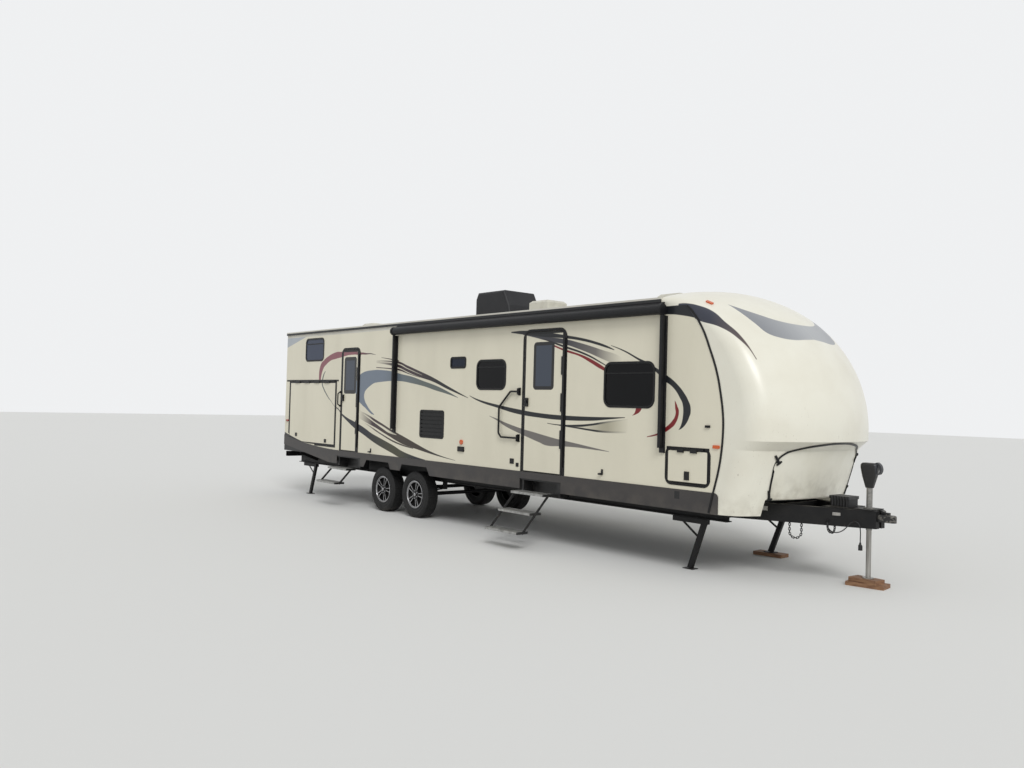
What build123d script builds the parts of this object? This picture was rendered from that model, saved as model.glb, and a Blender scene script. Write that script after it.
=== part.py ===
"""Travel caravan with a moulded front cap, two slide-out rooms, an outside kitchen hatch and an awning.

Millimetres. +X points to the hitch, +Y to the road side, +Z up, and the ground is z = 0.
The door side is -Y. Lengths along the body are stations, counted from the rear wall forward.
Writes one STEP file for each piece to parts/.
"""

import math
import os

from build123d import *

# Body shell
BODY_WIDTH = 2440
WALL = 50
RAIL_TOP = 870
FLOOR_THICK = 115
WALL_TOP = 3170
ROOF_EDGE = 115
ROOF_CROWN = 115
ROOF_JOINT = 9930
GUTTER = (22, 60)  # how far it stands out, height
SEAM_TOP = 10300
SEAM_BELLY = (10877, 1685)
SEAM_FOOT = 10735

# Front cap, a quarter-round nose swept about a cross-wise line
NOSE_STATION = 9900
NOSE_HEIGHT = 1690
BROW_LOW = NOSE_HEIGHT - 90
CAP_WALL = 50
CAP_COVER = 25
CAP_FOOT = 745
CAP_NOTCH_TOP = 930
CAP_NOTCH_HALF = 870
CAP_FLOOR_TOP = 985

# Ladder frame and A-frame tongue
RAIL_HEIGHT = 250
RAIL_FLANGE = 100
RAIL_WEB = 8
RAIL_OFFSET = 830
RAIL_REAR = 20
RAIL_FRONT = 10700
TONGUE_TOP = 862
TONGUE_HEIGHT = 200
TONGUE_WIDTH = 76
TONGUE_ROOT = 10500
TONGUE_LENGTH = 1610
TONGUE_END = TONGUE_ROOT + TONGUE_LENGTH
TONGUE_END_HALF = 62
BUMPER_SIZE = 102
BUMPER_HALF = 1120
BALL_STATION = TONGUE_END + 125
COUPLER_TIP = BALL_STATION + 55
BALL_BORE = 29.8
BALL_DEPTH = 34

# Wheels and running gear
WHEEL_STATIONS = (3679, 4659)
TYRE_RADIUS = 385
TYRE_WIDTH = 235
RIM_RADIUS = 228
TYRE_FACE = 1150
RIM_WINDOWS = 8
AXLE_RADIUS = 32
SPRING_WIDTH = 45
SPRING_THICK = 34

# Skirt
SKIRT_TOP = 985
SKIRT_LOW = 740
SKIRT_THICK = 8
SKIRT_FRONT = 10820
SKIRT_RISE_START = 2200
SKIRT_RISE_TOP = 1190
SKIRT_RISE_LOW = 990
ARCH_LOW, ARCH_HIGH = 3150, 5190
ARCH_TOP = 872
ARCH_TAB_HALF = 150

# Clearances
RUN = 6  # around a moving leaf
SEAT = 0.3  # a piece that sits on or in another
PROUD = 6  # frames and rings on the wall face

# Tongue jack
JACK_STATION = TONGUE_END - 130
JACK_TUBE_RADIUS = 33
JACK_LEG_RADIUS = 28
JACK_TUBE_LOW = 630
JACK_TUBE_TOP = 1105
JACK_HEAD_TOP = 1385
LEG_TRAVEL = 400
LEG_ENGAGED = 190  # length of the leg inside its tube at rest
BLOCK_HEIGHT = 45

SLIDE_OUT = 650
SLIDE_TRAVEL_GAP = 6
# Entry steps: low station of the treads, first tread z, count
STEP_SETS = ((7470, 726, 3), (2250, 693, 2))
STEP_SIZE = (680, 205, 32)  # along the body, out from it, thick
STEP_RUN = 226
STEP_RISE = 237
STEP_FIRST_OUT = 1452  # outer edge of the top tread from the middle of the body
STEP_NOTCH = (62, 100, 888)  # how far the skirt is cut behind and ahead of the treads, top of the cut

OUT = BODY_WIDTH / 2
IN = OUT - WALL
FLOOR_TOP = RAIL_TOP + FLOOR_THICK
RAIL_LOW = RAIL_TOP - RAIL_HEIGHT
BUMPER_REACH = BUMPER_SIZE + 8
ORIGIN_STATION = (COUPLER_TIP - BUMPER_REACH) / 2


def at(station):
    """x of a station along the body."""
    return station - ORIGIN_STATION


def block(low, high):
    """Box between two corners given as (station, y, z)."""
    size = [b - a for a, b in zip(low, high)]
    middle = [(a + b) / 2 for a, b in zip(low, high)]
    return Pos(at(middle[0]), middle[1], middle[2]) * Box(*size)


def side_plane(y):
    """Vertical plane along the body whose sketch x is a station and whose extrusion runs to -Y."""
    return Plane(origin=(at(0), y, 0), x_dir=(1, 0, 0), z_dir=(0, -1, 0))


def side_plate(sketch, y_from, y_to):
    """Plate cut from a side-view sketch in (station, z), between two y values."""
    return extrude(side_plane(max(y_from, y_to)) * sketch, amount=abs(y_to - y_from))


def outline(*edges):
    """Face inside a closed run of edges."""
    return make_face(Wire(list(edges)))


def rounded(s0, s1, z0, z1, radius):
    """Rounded rectangle in a side view."""
    return Pos((s0 + s1) / 2, (z0 + z1) / 2) * RectangleRounded(s1 - s0, z1 - z0, radius)


def mirrored(shape):
    """The same piece on the other side of the body."""
    return mirror(shape, about=Plane.XZ)


def save(name, shape):
    """Writes a node's solids to its own file."""
    solids = shape.solids() if not isinstance(shape, (list, tuple)) else [
        s for p in shape for s in p.solids()
    ]
    whole = solids[0] if len(solids) == 1 else Compound(solids)
    export_step(whole, f"parts/{name}.step")


# Openings in the door-side wall: low station, high station, low z, high z, corner radius
MAIN_DOORWAY = (7443, 8265, 985, 2968, 110)
REAR_DOORWAY = (2289, 2885, 985, 2866, 90)
HATCH_OPENING = (190, 2072, 1052, 2280, 30)
HATCH_CUT_TOP = (196, 1165)
HATCH_CUT_END = 1160
STORAGE_OPENING = (10074, 10675, 1060, 1455, 62)

# Windows: low station, high station, low z, high z, corner radius
RIGHT_WINDOWS = (
    (813, 1563, 2673, 3132, 95),
    (5668, 6076, 2470, 2655, 50),
    (6340, 7040, 2138, 2597, 115),
    (9003, 9858, 1927, 2513, 120),
)
LEFT_WINDOWS = ((900, 1660, 2140, 2610, 110),)
VENT_PANEL = (4867, 5540, 1350, 1806, 48)
WINDOW_RING = 30
WINDOW_LAP = 12
GLASS_THICK = 6

# Slide-out rooms on the road side: low station, high station, low z, high z
LIVING_OPENING = (3950, 7750, 1035, 2890)
BEDROOM_OPENING = (8750, 9850, 1035, 2760)
SLIDE_FLANGE = 45
SLIDE_SKIN = 45


def seam_edges(offset):
    """The J-shaped joint between side wall and cap, from foot to top, moved forward by offset."""
    foot = (SEAM_FOOT + offset, RAIL_TOP)
    low = (SEAM_BELLY[0] - 38 + offset, SEAM_BELLY[1] - 300)
    belly = (SEAM_BELLY[0] + offset, SEAM_BELLY[1])
    high = (SEAM_BELLY[0] - 137 + offset, SEAM_BELLY[1] + 755)
    top = (SEAM_TOP + offset, WALL_TOP)
    return ThreePointArc(foot, low, belly), ThreePointArc(belly, high, top), foot, top


def wall_outline():
    """Side view of a side wall, from the rear wall to the cap's joint."""
    lower, upper, foot, top = seam_edges(-1)
    rear_low = (0, RAIL_TOP)
    rear_high = (0, WALL_TOP)
    return outline(Line(rear_low, foot), lower, upper, Line(top, rear_high), Line(rear_high, rear_low))


def doorway(opening, gap):
    """Doorway in side view, or the leaf that fills it with a gap: round above, square below."""
    s0, s1, z0, z1, radius = opening
    low, high = z0 + gap, z1 - gap
    whole = rounded(s0 + gap, s1 - gap, low, high, radius - gap)
    return whole + Pos((s0 + s1) / 2, low + radius) * Rectangle(s1 - s0 - 2 * gap, 2 * radius)


def hatch_outline(gap):
    """Kitchen hatch in side view: its lower rear corner follows the rising skirt line."""
    s0, s1, z0, z1, _ = HATCH_OPENING
    rear = (s0 + gap, HATCH_CUT_TOP[1] + gap)
    end = (HATCH_CUT_END + gap / 2, z0 + gap)
    bend = ((rear[0] + end[0]) / 2, (rear[1] + end[1]) / 2 - 22)
    low_front = (s1 - gap, z0 + gap)
    high_front = (s1 - gap, z1 - gap)
    high_rear = (s0 + gap, z1 - gap)
    return outline(
        ThreePointArc(rear, bend, end),
        Line(end, low_front),
        Line(low_front, high_front),
        Line(high_front, high_rear),
        Line(high_rear, rear),
    )


def grown(opening, by):
    """An opening's size with a margin all round."""
    s0, s1, z0, z1, radius = opening
    return (s0 - by, s1 + by, z0 - by, z1 + by, radius + by)


# Side walls
def side_wall(doorways, openings, windows, extra):
    wall = side_plate(wall_outline(), -OUT, -IN)
    for opening in doorways:
        wall -= side_plate(doorway(opening, 0), -OUT - 1, -IN + 1)
    for opening in openings:
        wall -= side_plate(rounded(*opening), -OUT - 1, -IN + 1)
    for window in windows:
        wall -= side_plate(rounded(*grown(window, -WINDOW_LAP)), -OUT - 1, -IN + 1)
    for cut in extra:
        wall -= cut
    return wall


hatch_hole = side_plate(hatch_outline(0), -OUT - 1, -IN + 1)
vent_hole = side_plate(rounded(*grown(VENT_PANEL, -WINDOW_LAP)), -OUT - 1, -OUT + 22)
wall_right = side_wall(
    (MAIN_DOORWAY, REAR_DOORWAY), (STORAGE_OPENING,), RIGHT_WINDOWS, (hatch_hole, vent_hole)
)
slide_holes = [
    side_plate(Pos((s0 + s1) / 2, (z0 + z1) / 2) * Rectangle(s1 - s0, z1 - z0), -OUT - 1, -IN + 1)
    for s0, s1, z0, z1 in (LIVING_OPENING, BEDROOM_OPENING)
]
wall_left = mirrored(side_wall((), (STORAGE_OPENING,), LEFT_WINDOWS, slide_holes))

# Rear wall between the side walls, floor between them all
wall_rear = block((0, -IN + SEAT, FLOOR_TOP + SEAT), (WALL, IN - SEAT, WALL_TOP - SEAT))
floor = block((0, -IN + SEAT, RAIL_TOP + SEAT), (SEAM_FOOT - 60, IN - SEAT, FLOOR_TOP))

# Roof: a slab with a crowned top and a gutter rail on each side
def roof_section():
    edge_z = WALL_TOP + ROOF_EDGE
    low_left, low_right = (-OUT, WALL_TOP), (OUT, WALL_TOP)
    high_left, high_right = (-OUT, edge_z), (OUT, edge_z)
    crown = (0, edge_z + ROOF_CROWN)
    return outline(
        Line(low_left, low_right),
        Line(low_right, high_right),
        ThreePointArc(high_right, crown, high_left),
        Line(high_left, low_left),
    )


cross_plane = Plane(origin=(at(0), 0, 0), x_dir=(0, 1, 0), z_dir=(1, 0, 0))
roof = extrude(cross_plane * roof_section(), amount=ROOF_JOINT - SEAT)
for side in (-1, 1):
    y_wall, y_out = side * OUT, side * (OUT + GUTTER[0])
    low = (0, min(y_wall, y_out), WALL_TOP + ROOF_EDGE - GUTTER[1])
    high = (ROOF_JOINT - SEAT, max(y_wall, y_out), WALL_TOP + ROOF_EDGE)
    roof += block(low, high)

# Cap cross-sections: angle above the horizontal, reach from the nose line, face arc, corner arc
NOSE_SECTIONS = (
    (0, 1755, 2400, 300),
    (30, 1757, 2600, 265),
    (60, 1759, 3300, 165),
    (90, 1760, 4500, 60),
)
# Lower sections: height, reach from the nose line
BROW_SECTIONS = ((BROW_LOW, 1755), (BROW_LOW - 110, 1630))
CHIN_SECTIONS = ((1490, 1630), (CAP_FOOT, 1410))
NOSE_HOLLOW = 600


def cap_section(reach, face, corner, inset):
    """Half-rounded section: flat sides, corner arcs and one face arc, in (y, reach)."""
    half = OUT - inset
    reach, face, corner = reach - inset, face - inset, max(corner - inset, 10)
    centre = reach - face
    corner_y = half - corner
    corner_r = centre + math.sqrt((face - corner) ** 2 - corner_y**2)
    lean = math.asin(corner_y / (face - corner))
    meet = (corner_y + corner * math.sin(lean), corner_r + corner * math.cos(lean))
    turn = (math.pi / 2 + lean) / 2
    mid = (corner_y + corner * math.sin(turn), corner_r + corner * math.cos(turn))
    base_right, base_left = (half, NOSE_HOLLOW), (-half, NOSE_HOLLOW)
    side_right, side_left = (half, corner_r), (-half, corner_r)
    meet_left, mid_left = (-meet[0], meet[1]), (-mid[0], mid[1])
    return outline(
        Line(base_left, base_right),
        Line(base_right, side_right),
        ThreePointArc(side_right, mid, meet),
        ThreePointArc(meet, (0, reach), meet_left),
        ThreePointArc(meet_left, mid_left, side_left),
        Line(side_left, base_left),
    )


def fan_plane(angle):
    """Plane through the nose line, tilted up by angle."""
    a = math.radians(angle)
    return Plane(
        origin=(at(NOSE_STATION), 0, NOSE_HEIGHT), x_dir=(0, 1, 0), z_dir=(math.sin(a), 0, -math.cos(a))
    )


def level_plane(z):
    """Level plane whose sketch y runs forward from the nose line."""
    return Plane(origin=(at(NOSE_STATION), 0, z), x_dir=(0, 1, 0), z_dir=(0, 0, -1))


def cap_body(inset, foot):
    """The cap's outer form, or the same form set in by a wall thickness, down to its foot."""
    _, reach, face, corner = NOSE_SECTIONS[0]
    fan = loft([fan_plane(a) * cap_section(r, f, c, inset) for a, r, f, c in NOSE_SECTIONS])
    level = extrude(
        level_plane(NOSE_HEIGHT) * cap_section(reach, face, corner, inset), amount=NOSE_HEIGHT - BROW_LOW
    )
    brow = loft(
        [level_plane(z) * cap_section(r, face, corner, inset) for z, r in BROW_SECTIONS], ruled=True
    )
    (z_high, r_high), (z_low, r_low) = CHIN_SECTIONS
    r_foot = r_high + (r_low - r_high) * (z_high - foot) / (z_high - z_low)
    chin = loft(
        [
            level_plane(z) * cap_section(r, face, corner, inset)
            for z, r in ((z_high, r_high), (foot, r_foot))
        ],
        ruled=True,
    )
    return fan + level + brow + chin


CAP_AHEAD = NOSE_STATION + 2600  # clear of the cap's front
CAP_ABOVE = WALL_TOP + 430  # clear of its crown


def cap_region():
    """Side view of all that lies ahead of the walls and the roof."""
    lower, upper, foot, top = seam_edges(1)
    roof_low, roof_high = (ROOF_JOINT, WALL_TOP), (ROOF_JOINT, CAP_ABOVE)
    front_high, front_low = (CAP_AHEAD, CAP_ABOVE), (CAP_AHEAD, CAP_FOOT - 10)
    foot_low = (SEAM_FOOT + 1 - 20, CAP_FOOT - 10)
    return outline(
        Line(foot_low, foot),
        lower,
        upper,
        Line(top, roof_low),
        Line(roof_low, roof_high),
        Line(roof_high, front_high),
        Line(front_high, front_low),
        Line(front_low, foot_low),
    )


# Cover over the gas bottles: half width and height at its foot, along its side and over its arch
COVER_FOOT = (836, 938)
COVER_FLANK = (864, 1180)
COVER_SHOULDER = (860, BROW_LOW - 215)
COVER_CORNER = (802, BROW_LOW - 148)
COVER_CROWN = (660, BROW_LOW - 90)
COVER_ARCH_TOP = BROW_LOW - 16


def cover_prism(by):
    """Front view of the lift-off cover with a margin, run through the cap's front."""
    foot = (COVER_FOOT[0] + by, COVER_FOOT[1] - by)
    flank, shoulder = [(y + by, z) for y, z in (COVER_FLANK, COVER_SHOULDER)]
    corner, crown = [(y + by * 0.7, z + by * 0.7) for y, z in (COVER_CORNER, COVER_CROWN)]
    far_foot, far_flank, far_shoulder, far_corner, far_crown = [
        (-y, z) for y, z in (foot, flank, shoulder, corner, crown)
    ]
    face = outline(
        Line(far_foot, foot),
        ThreePointArc(foot, flank, shoulder),
        ThreePointArc(shoulder, corner, crown),
        ThreePointArc(crown, (0, COVER_ARCH_TOP + by), far_crown),
        ThreePointArc(far_crown, far_corner, far_shoulder),
        ThreePointArc(far_shoulder, far_flank, far_foot),
    )
    plane = Plane(origin=(at(10950), 0, 0), x_dir=(0, 1, 0), z_dir=(1, 0, 0))
    return extrude(plane * face, amount=1000)


cap_outer = cap_body(0, CAP_FOOT)
cap_mid = cap_body(CAP_COVER, CAP_FOOT)
cap_inner = cap_body(CAP_WALL, CAP_FLOOR_TOP)
notch = block((10000, -CAP_NOTCH_HALF, 0), (CAP_AHEAD, CAP_NOTCH_HALF, CAP_NOTCH_TOP))
front_cap = (cap_outer & side_plate(cap_region(), -OUT - 5, OUT + 5)) - cap_inner - notch
propane_cover = (cover_prism(0) & cap_outer) - cap_body(CAP_COVER - SEAT, CAP_FOOT)
front_cap -= cover_prism(4) - cap_mid


# Ladder frame: two rolled rails, cross members, outriggers and the bumper tube
CROSS_STATIONS = (60, 2900, 5450, 8000, 10450)
OUTRIGGER_STATIONS = (700, 1900, 5900, 6700, 9300)
FLANGE_THICK = 12


def rail_section():
    """I-section standing between the rail's low and top heights, centred on y = 0."""
    half = RAIL_FLANGE / 2
    web = RAIL_WEB / 2
    low, high = RAIL_LOW, RAIL_TOP
    points = [
        (-half, low), (half, low), (half, low + FLANGE_THICK), (web, low + FLANGE_THICK),
        (web, high - FLANGE_THICK), (half, high - FLANGE_THICK), (half, high), (-half, high),
        (-half, high - FLANGE_THICK), (-web, high - FLANGE_THICK), (-web, low + FLANGE_THICK),
        (-half, low + FLANGE_THICK),
    ]
    return make_face(Polyline(*points, close=True))


rail_plane = Plane(origin=(at(RAIL_REAR), 0, 0), x_dir=(0, 1, 0), z_dir=(1, 0, 0))
rail = extrude(rail_plane * rail_section(), amount=RAIL_FRONT - RAIL_REAR)
frame = Pos(0, -RAIL_OFFSET, 0) * rail + Pos(0, RAIL_OFFSET, 0) * rail
inner_face = RAIL_OFFSET - RAIL_WEB / 2
for station in CROSS_STATIONS:
    frame += block((station, -inner_face, RAIL_TOP - 150), (station + 50, inner_face, RAIL_TOP - 2))
outrigger_inner = RAIL_OFFSET + RAIL_WEB / 2
for station in OUTRIGGER_STATIONS:
    profile = Polyline(
        (outrigger_inner, RAIL_TOP - 2), (OUT, RAIL_TOP - 2), (OUT, RAIL_TOP - 40),
        (outrigger_inner, RAIL_LOW + 60), close=True,
    )
    bracket_plane = Plane(origin=(at(station), 0, 0), x_dir=(0, 1, 0), z_dir=(1, 0, 0))
    bracket = extrude(bracket_plane * make_face(profile), amount=6)
    frame += bracket + mirrored(bracket)
BUMPER_TOP = RAIL_TOP - 30
bumper = block(
    (-BUMPER_REACH, -BUMPER_HALF, BUMPER_TOP - BUMPER_SIZE),
    (-BUMPER_REACH + BUMPER_SIZE, BUMPER_HALF, BUMPER_TOP),
)
bumper = fillet(bumper.edges().filter_by(Axis.Y), 10)
bumper -= block(
    (-BUMPER_REACH + 5, -BUMPER_HALF - 1, BUMPER_TOP - BUMPER_SIZE + 5),
    (-BUMPER_REACH + BUMPER_SIZE - 5, BUMPER_HALF + 1, BUMPER_TOP - 5),
)
for side in (-1, 1):
    y = side * RAIL_OFFSET
    frame += block((-9, y - 40, BUMPER_TOP - BUMPER_SIZE + 10), (RAIL_REAR + 1, y + 40, BUMPER_TOP - 10))
frame += bumper

# Flat sheet that closes the frame from below, between the rails
UNDERBELLY = (200, 10440, 6)
underbelly = block(
    (UNDERBELLY[0], -RAIL_OFFSET + RAIL_FLANGE / 2 + SEAT, RAIL_LOW),
    (UNDERBELLY[1], RAIL_OFFSET - RAIL_FLANGE / 2 - SEAT, RAIL_LOW + UNDERBELLY[2]),
)
for station in CROSS_STATIONS[1:-1]:
    underbelly += block((station, -40, RAIL_LOW + UNDERBELLY[2]), (station + 50, 40, RAIL_TOP - 150 - SEAT))

# A-frame: two channels that meet at the coupler, with a cross plate for the jack
TONGUE_LOW = TONGUE_TOP - TONGUE_HEIGHT
TONGUE_ROOT_HALF = RAIL_OFFSET - RAIL_FLANGE / 2 - TONGUE_WIDTH / 2 - 20


def tongue_beam(side):
    """One channel of the A-frame, seen from above."""
    dy = TONGUE_WIDTH / 2
    points = [
        (at(TONGUE_ROOT), side * (TONGUE_ROOT_HALF + dy)),
        (at(TONGUE_END), side * (TONGUE_END_HALF + dy)),
        (at(TONGUE_END), side * max(TONGUE_END_HALF - dy, 0)),
        (at(TONGUE_ROOT), side * (TONGUE_ROOT_HALF - dy)),
    ]
    plan = make_face(Polyline(*points, close=True))
    beam = extrude(Plane.XY.offset(TONGUE_LOW) * plan, amount=TONGUE_HEIGHT)
    return beam


tongue = tongue_beam(-1) + tongue_beam(1)
PLATE_HALF = 150
plate = block(
    (JACK_STATION - 130, -PLATE_HALF, TONGUE_TOP), (JACK_STATION + 95, PLATE_HALF, TONGUE_TOP + 10)
)
tongue += plate
tongue -= Pos(at(JACK_STATION), 0, TONGUE_TOP) * Cylinder(JACK_TUBE_RADIUS + SEAT, 800)
TIE_STATION = TONGUE_ROOT + 550
tie_half = TONGUE_END_HALF + (
    TONGUE_ROOT_HALF - TONGUE_END_HALF
) * (TONGUE_END - TIE_STATION) / (TONGUE_END - TONGUE_ROOT)
tongue += block((TIE_STATION, -tie_half, TONGUE_LOW + 30), (TIE_STATION + 60, tie_half, TONGUE_TOP - 10))

# Coupler: pressed nose over the ball, with its latch and collar
COUPLER_LOW = 740
nose_plan = outline(
    Line((at(TONGUE_END + SEAT), -62), (at(BALL_STATION), -55)),
    ThreePointArc((at(BALL_STATION), -55), (at(COUPLER_TIP), 0), (at(BALL_STATION), 55)),
    Line((at(BALL_STATION), 55), (at(TONGUE_END + SEAT), 62)),
    Line((at(TONGUE_END + SEAT), 62), (at(TONGUE_END + SEAT), -62)),
)
coupler = extrude(Plane.XY.offset(COUPLER_LOW) * nose_plan, amount=80)
coupler = fillet(coupler.edges().filter_by(Plane.XY).group_by(Axis.Z)[-1], 16)
coupler -= Pos(at(BALL_STATION), 0, COUPLER_LOW) * Cylinder(BALL_BORE, 2 * BALL_DEPTH)
coupler += block((TONGUE_END + 20, -16, COUPLER_LOW + 78), (TONGUE_END + 110, 16, COUPLER_LOW + 108))
coupler += Pos(at(TONGUE_END + 34), 0, COUPLER_LOW + 112) * Rot(90, 0, 0) * Cylinder(14, 70)

# Tongue jack: tube through the plate, powered head on top, work lamp on its front
jack_tube = Pos(at(JACK_STATION), 0, 0) * extrude(
    Plane.XY.offset(JACK_TUBE_LOW) * (Circle(JACK_TUBE_RADIUS) - Circle(JACK_LEG_RADIUS + SEAT)),
    amount=JACK_TUBE_TOP - JACK_TUBE_LOW,
)
collar = Pos(at(JACK_STATION), 0, TONGUE_TOP + 10) * Cylinder(
    58, 14, align=(Align.CENTER, Align.CENTER, Align.MIN)
)
collar -= Pos(at(JACK_STATION), 0, TONGUE_TOP) * Cylinder(JACK_TUBE_RADIUS - 1, 100)
# Sections of the jack's head: z, length, width, corner
HEAD_SECTIONS = ((JACK_TUBE_TOP, 84, 76, 30), (1235, 158, 112, 40), (1330, 196, 128, 46))
head = loft(
    [
        Plane(origin=(at(JACK_STATION), 0, z)) * RectangleRounded(a, b, r) for z, a, b, r in HEAD_SECTIONS
    ], ruled=True
)
_, crown_length, crown_width, crown_corner = HEAD_SECTIONS[-1]
crown_plan = Plane(
    origin=(at(JACK_STATION), 0, HEAD_SECTIONS[-1][0])
) * RectangleRounded(crown_length, crown_width, crown_corner)
crown = extrude(crown_plan, amount=JACK_HEAD_TOP - HEAD_SECTIONS[-1][0])
head += fillet(crown.edges().group_by(Axis.Z)[-1], 34)
bore_depth = JACK_TUBE_LOW + LEG_ENGAGED + LEG_TRAVEL + 6 - JACK_TUBE_TOP
leg_bore = Cylinder(JACK_LEG_RADIUS + SEAT, bore_depth, align=(Align.CENTER, Align.CENTER, Align.MIN))
head -= Pos(at(JACK_STATION), 0, JACK_TUBE_TOP) * leg_bore
# Work lamp: a curved strip held off the head's front
LAMP_ARC = ((92, 1395), (138, 1350), (122, 1262))  # distance ahead of the jack, z
lamp_outer = [(at(JACK_STATION + a), z) for a, z in LAMP_ARC]
lamp_inner = [(at(JACK_STATION + a - 24), z - 8) for a, z in LAMP_ARC]
lamp_face = outline(
    ThreePointArc(*lamp_outer),
    Line(lamp_outer[2], lamp_inner[2]),
    ThreePointArc(*reversed(lamp_inner)),
    Line(lamp_inner[0], lamp_outer[0]),
)
work_lamp = extrude(Plane(origin=(0, 24, 0), x_dir=(1, 0, 0), z_dir=(0, -1, 0)) * lamp_face, amount=48)
tongue_jack = jack_tube + collar + head + work_lamp
LEG_FOOT = 2 * (BLOCK_HEIGHT + SEAT)
leg_top = JACK_TUBE_LOW + LEG_ENGAGED
jack_leg = Pos(at(JACK_STATION), 0, LEG_FOOT) * Cylinder(
    JACK_LEG_RADIUS, leg_top - LEG_FOOT, align=(Align.CENTER, Align.CENTER, Align.MIN)
)
foot = Pos(at(JACK_STATION), 0, LEG_FOOT) * Cylinder(62, 12, align=(Align.CENTER, Align.CENTER, Align.MIN))
jack_leg += foot

FRONT_LEGS, REAR_LEGS = 10173, 520  # stations of the stabilisers' feet

# Wood blocks: station, y, length, width, low z, turn about the vertical
BLOCKS = (
    (JACK_STATION - 5, 0, 420, 230, 0, 8),
    (JACK_STATION - 20, 0, 330, 190, BLOCK_HEIGHT + SEAT, -4),
    (FRONT_LEGS, 861, 420, 190, 0, 3),
)
blocks = [
    Pos(at(s), y, z) * Rot(0, 0, turn) * Box(
        length, width, BLOCK_HEIGHT, align=(Align.CENTER, Align.CENTER, Align.MIN)
    )
    for s, y, length, width, z, turn in BLOCKS
]

# Battery box with its lid, on a tray across the A-frame
TRAY_TOP = TONGUE_TOP + 8
BATTERY_STATION = JACK_STATION - 420
BATTERY_LENGTH = 230
battery_end = BATTERY_STATION + BATTERY_LENGTH
tongue += block((BATTERY_STATION - 15, -250, TONGUE_TOP), (battery_end + 15, 250, TRAY_TOP))
battery = block((BATTERY_STATION, -110, TRAY_TOP + SEAT), (battery_end, 110, TRAY_TOP + 85))
battery = fillet(battery.edges().filter_by(Axis.Z), 14)
lid = block((BATTERY_STATION - 10, -120, TRAY_TOP + 85), (battery_end + 10, 120, TRAY_TOP + 118))
lid = fillet(lid.edges().filter_by(Axis.Z), 18)
battery_box = battery + lid

# Stabiliser legs: station of the foot, side, z of the ground under the foot
STABILISERS = ((FRONT_LEGS, -1, 0), (FRONT_LEGS, 1, BLOCK_HEIGHT), (REAR_LEGS, -1, 0), (REAR_LEGS, 1, 0))
LEG_LEAN = 200
STABILISER_Y = 861


def stabiliser(station, side, ground):
    """Leg leaning back to its foot, with its brace, the bracket under the rail and the screw."""
    y = side * STABILISER_Y
    top = (station + LEG_LEAN, RAIL_LOW - 38)
    foot_z = ground + SEAT + 10
    foot = (station, foot_z)
    run, rise = top[0] - foot[0], top[1] - foot[1]
    length = math.hypot(run, rise)
    tilt = math.degrees(math.atan2(run, rise))
    middle = Pos(at((top[0] + foot[0]) / 2), y, (top[1] + foot[1]) / 2)
    leg = middle * Rot(0, tilt, 0) * Box(64, 46, length)
    leg -= block((station - 200, y - 60, ground - 60), (station + 200, y + 60, ground + SEAT))
    pad = Pos(at(station), y, ground + SEAT) * Box(
        150, 110, 10, align=(Align.CENTER, Align.CENTER, Align.MIN)
    )
    grip = (station + LEG_LEAN * 0.62, foot_z + rise * 0.62)
    nut = (station - 190, RAIL_LOW - 30)
    brace_run, brace_rise = grip[0] - nut[0], grip[1] - nut[1]
    brace_tilt = math.degrees(math.atan2(brace_run, brace_rise))
    brace_middle = Pos(at((grip[0] + nut[0]) / 2), y - side * 32, (grip[1] + nut[1]) / 2)
    brace = brace_middle * Rot(0, brace_tilt, 0) * Box(26, 8, math.hypot(brace_run, brace_rise) + 20)
    bracket = block(
        (station - 260, y - 34, RAIL_LOW - 60), (station + LEG_LEAN + 50, y + 34, RAIL_LOW - SEAT)
    )
    bracket -= block(
        (station - 252, y - 28, RAIL_LOW - 70), (station + LEG_LEAN + 42, y + 28, RAIL_LOW - 8)
    )
    pins = [
        Pos(at(top[0]), y, top[1]) * Rot(90, 0, 0) * Cylinder(9, 66),
        Pos(at(grip[0]), y - side * 18, grip[1]) * Rot(90, 0, 0) * Cylinder(7, 40),
        Pos(at(nut[0]), y, nut[1]) * Rot(90, 0, 0) * Cylinder(9, 66),
    ]
    whole = leg + pad + brace + bracket
    for pin in pins:
        whole += pin
    return whole


stabilisers = [stabiliser(*row) for row in STABILISERS]

# Running gear: axle tubes with their hub spindles, leaf springs, hangers and equalisers
AXLE_Z = TYRE_RADIUS
HUB_FACE = TYRE_FACE - 150
SPINDLE_RADIUS = 24
SPINDLE_END = TYRE_FACE - 60
SPRING_HALF = 430
SPRING_RISE = 70


def spring_stack(station, y):
    """Leaf stack bowed over its axle, with the seat and the U-bolt block that clamp it."""
    eye_z = AXLE_Z + AXLE_RADIUS + 30 + SPRING_RISE
    mid_z = eye_z - SPRING_RISE
    lower = ThreePointArc((station - SPRING_HALF, eye_z), (station, mid_z), (station + SPRING_HALF, eye_z))
    upper_z = SPRING_THICK
    upper = ThreePointArc(
        (
            station + SPRING_HALF, eye_z + upper_z * 0.4
        ), (station, mid_z + upper_z), (station - SPRING_HALF, eye_z + upper_z * 0.4)
    )
    face = outline(lower, Line(lower @ 1, upper @ 0), upper, Line(upper @ 1, lower @ 0))
    stack = side_plate(face, y - SPRING_WIDTH / 2, y + SPRING_WIDTH / 2)
    stack += block((station - 55, y - 40, AXLE_Z + AXLE_RADIUS - 8), (station + 55, y + 40, mid_z + 14))
    return stack


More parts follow.
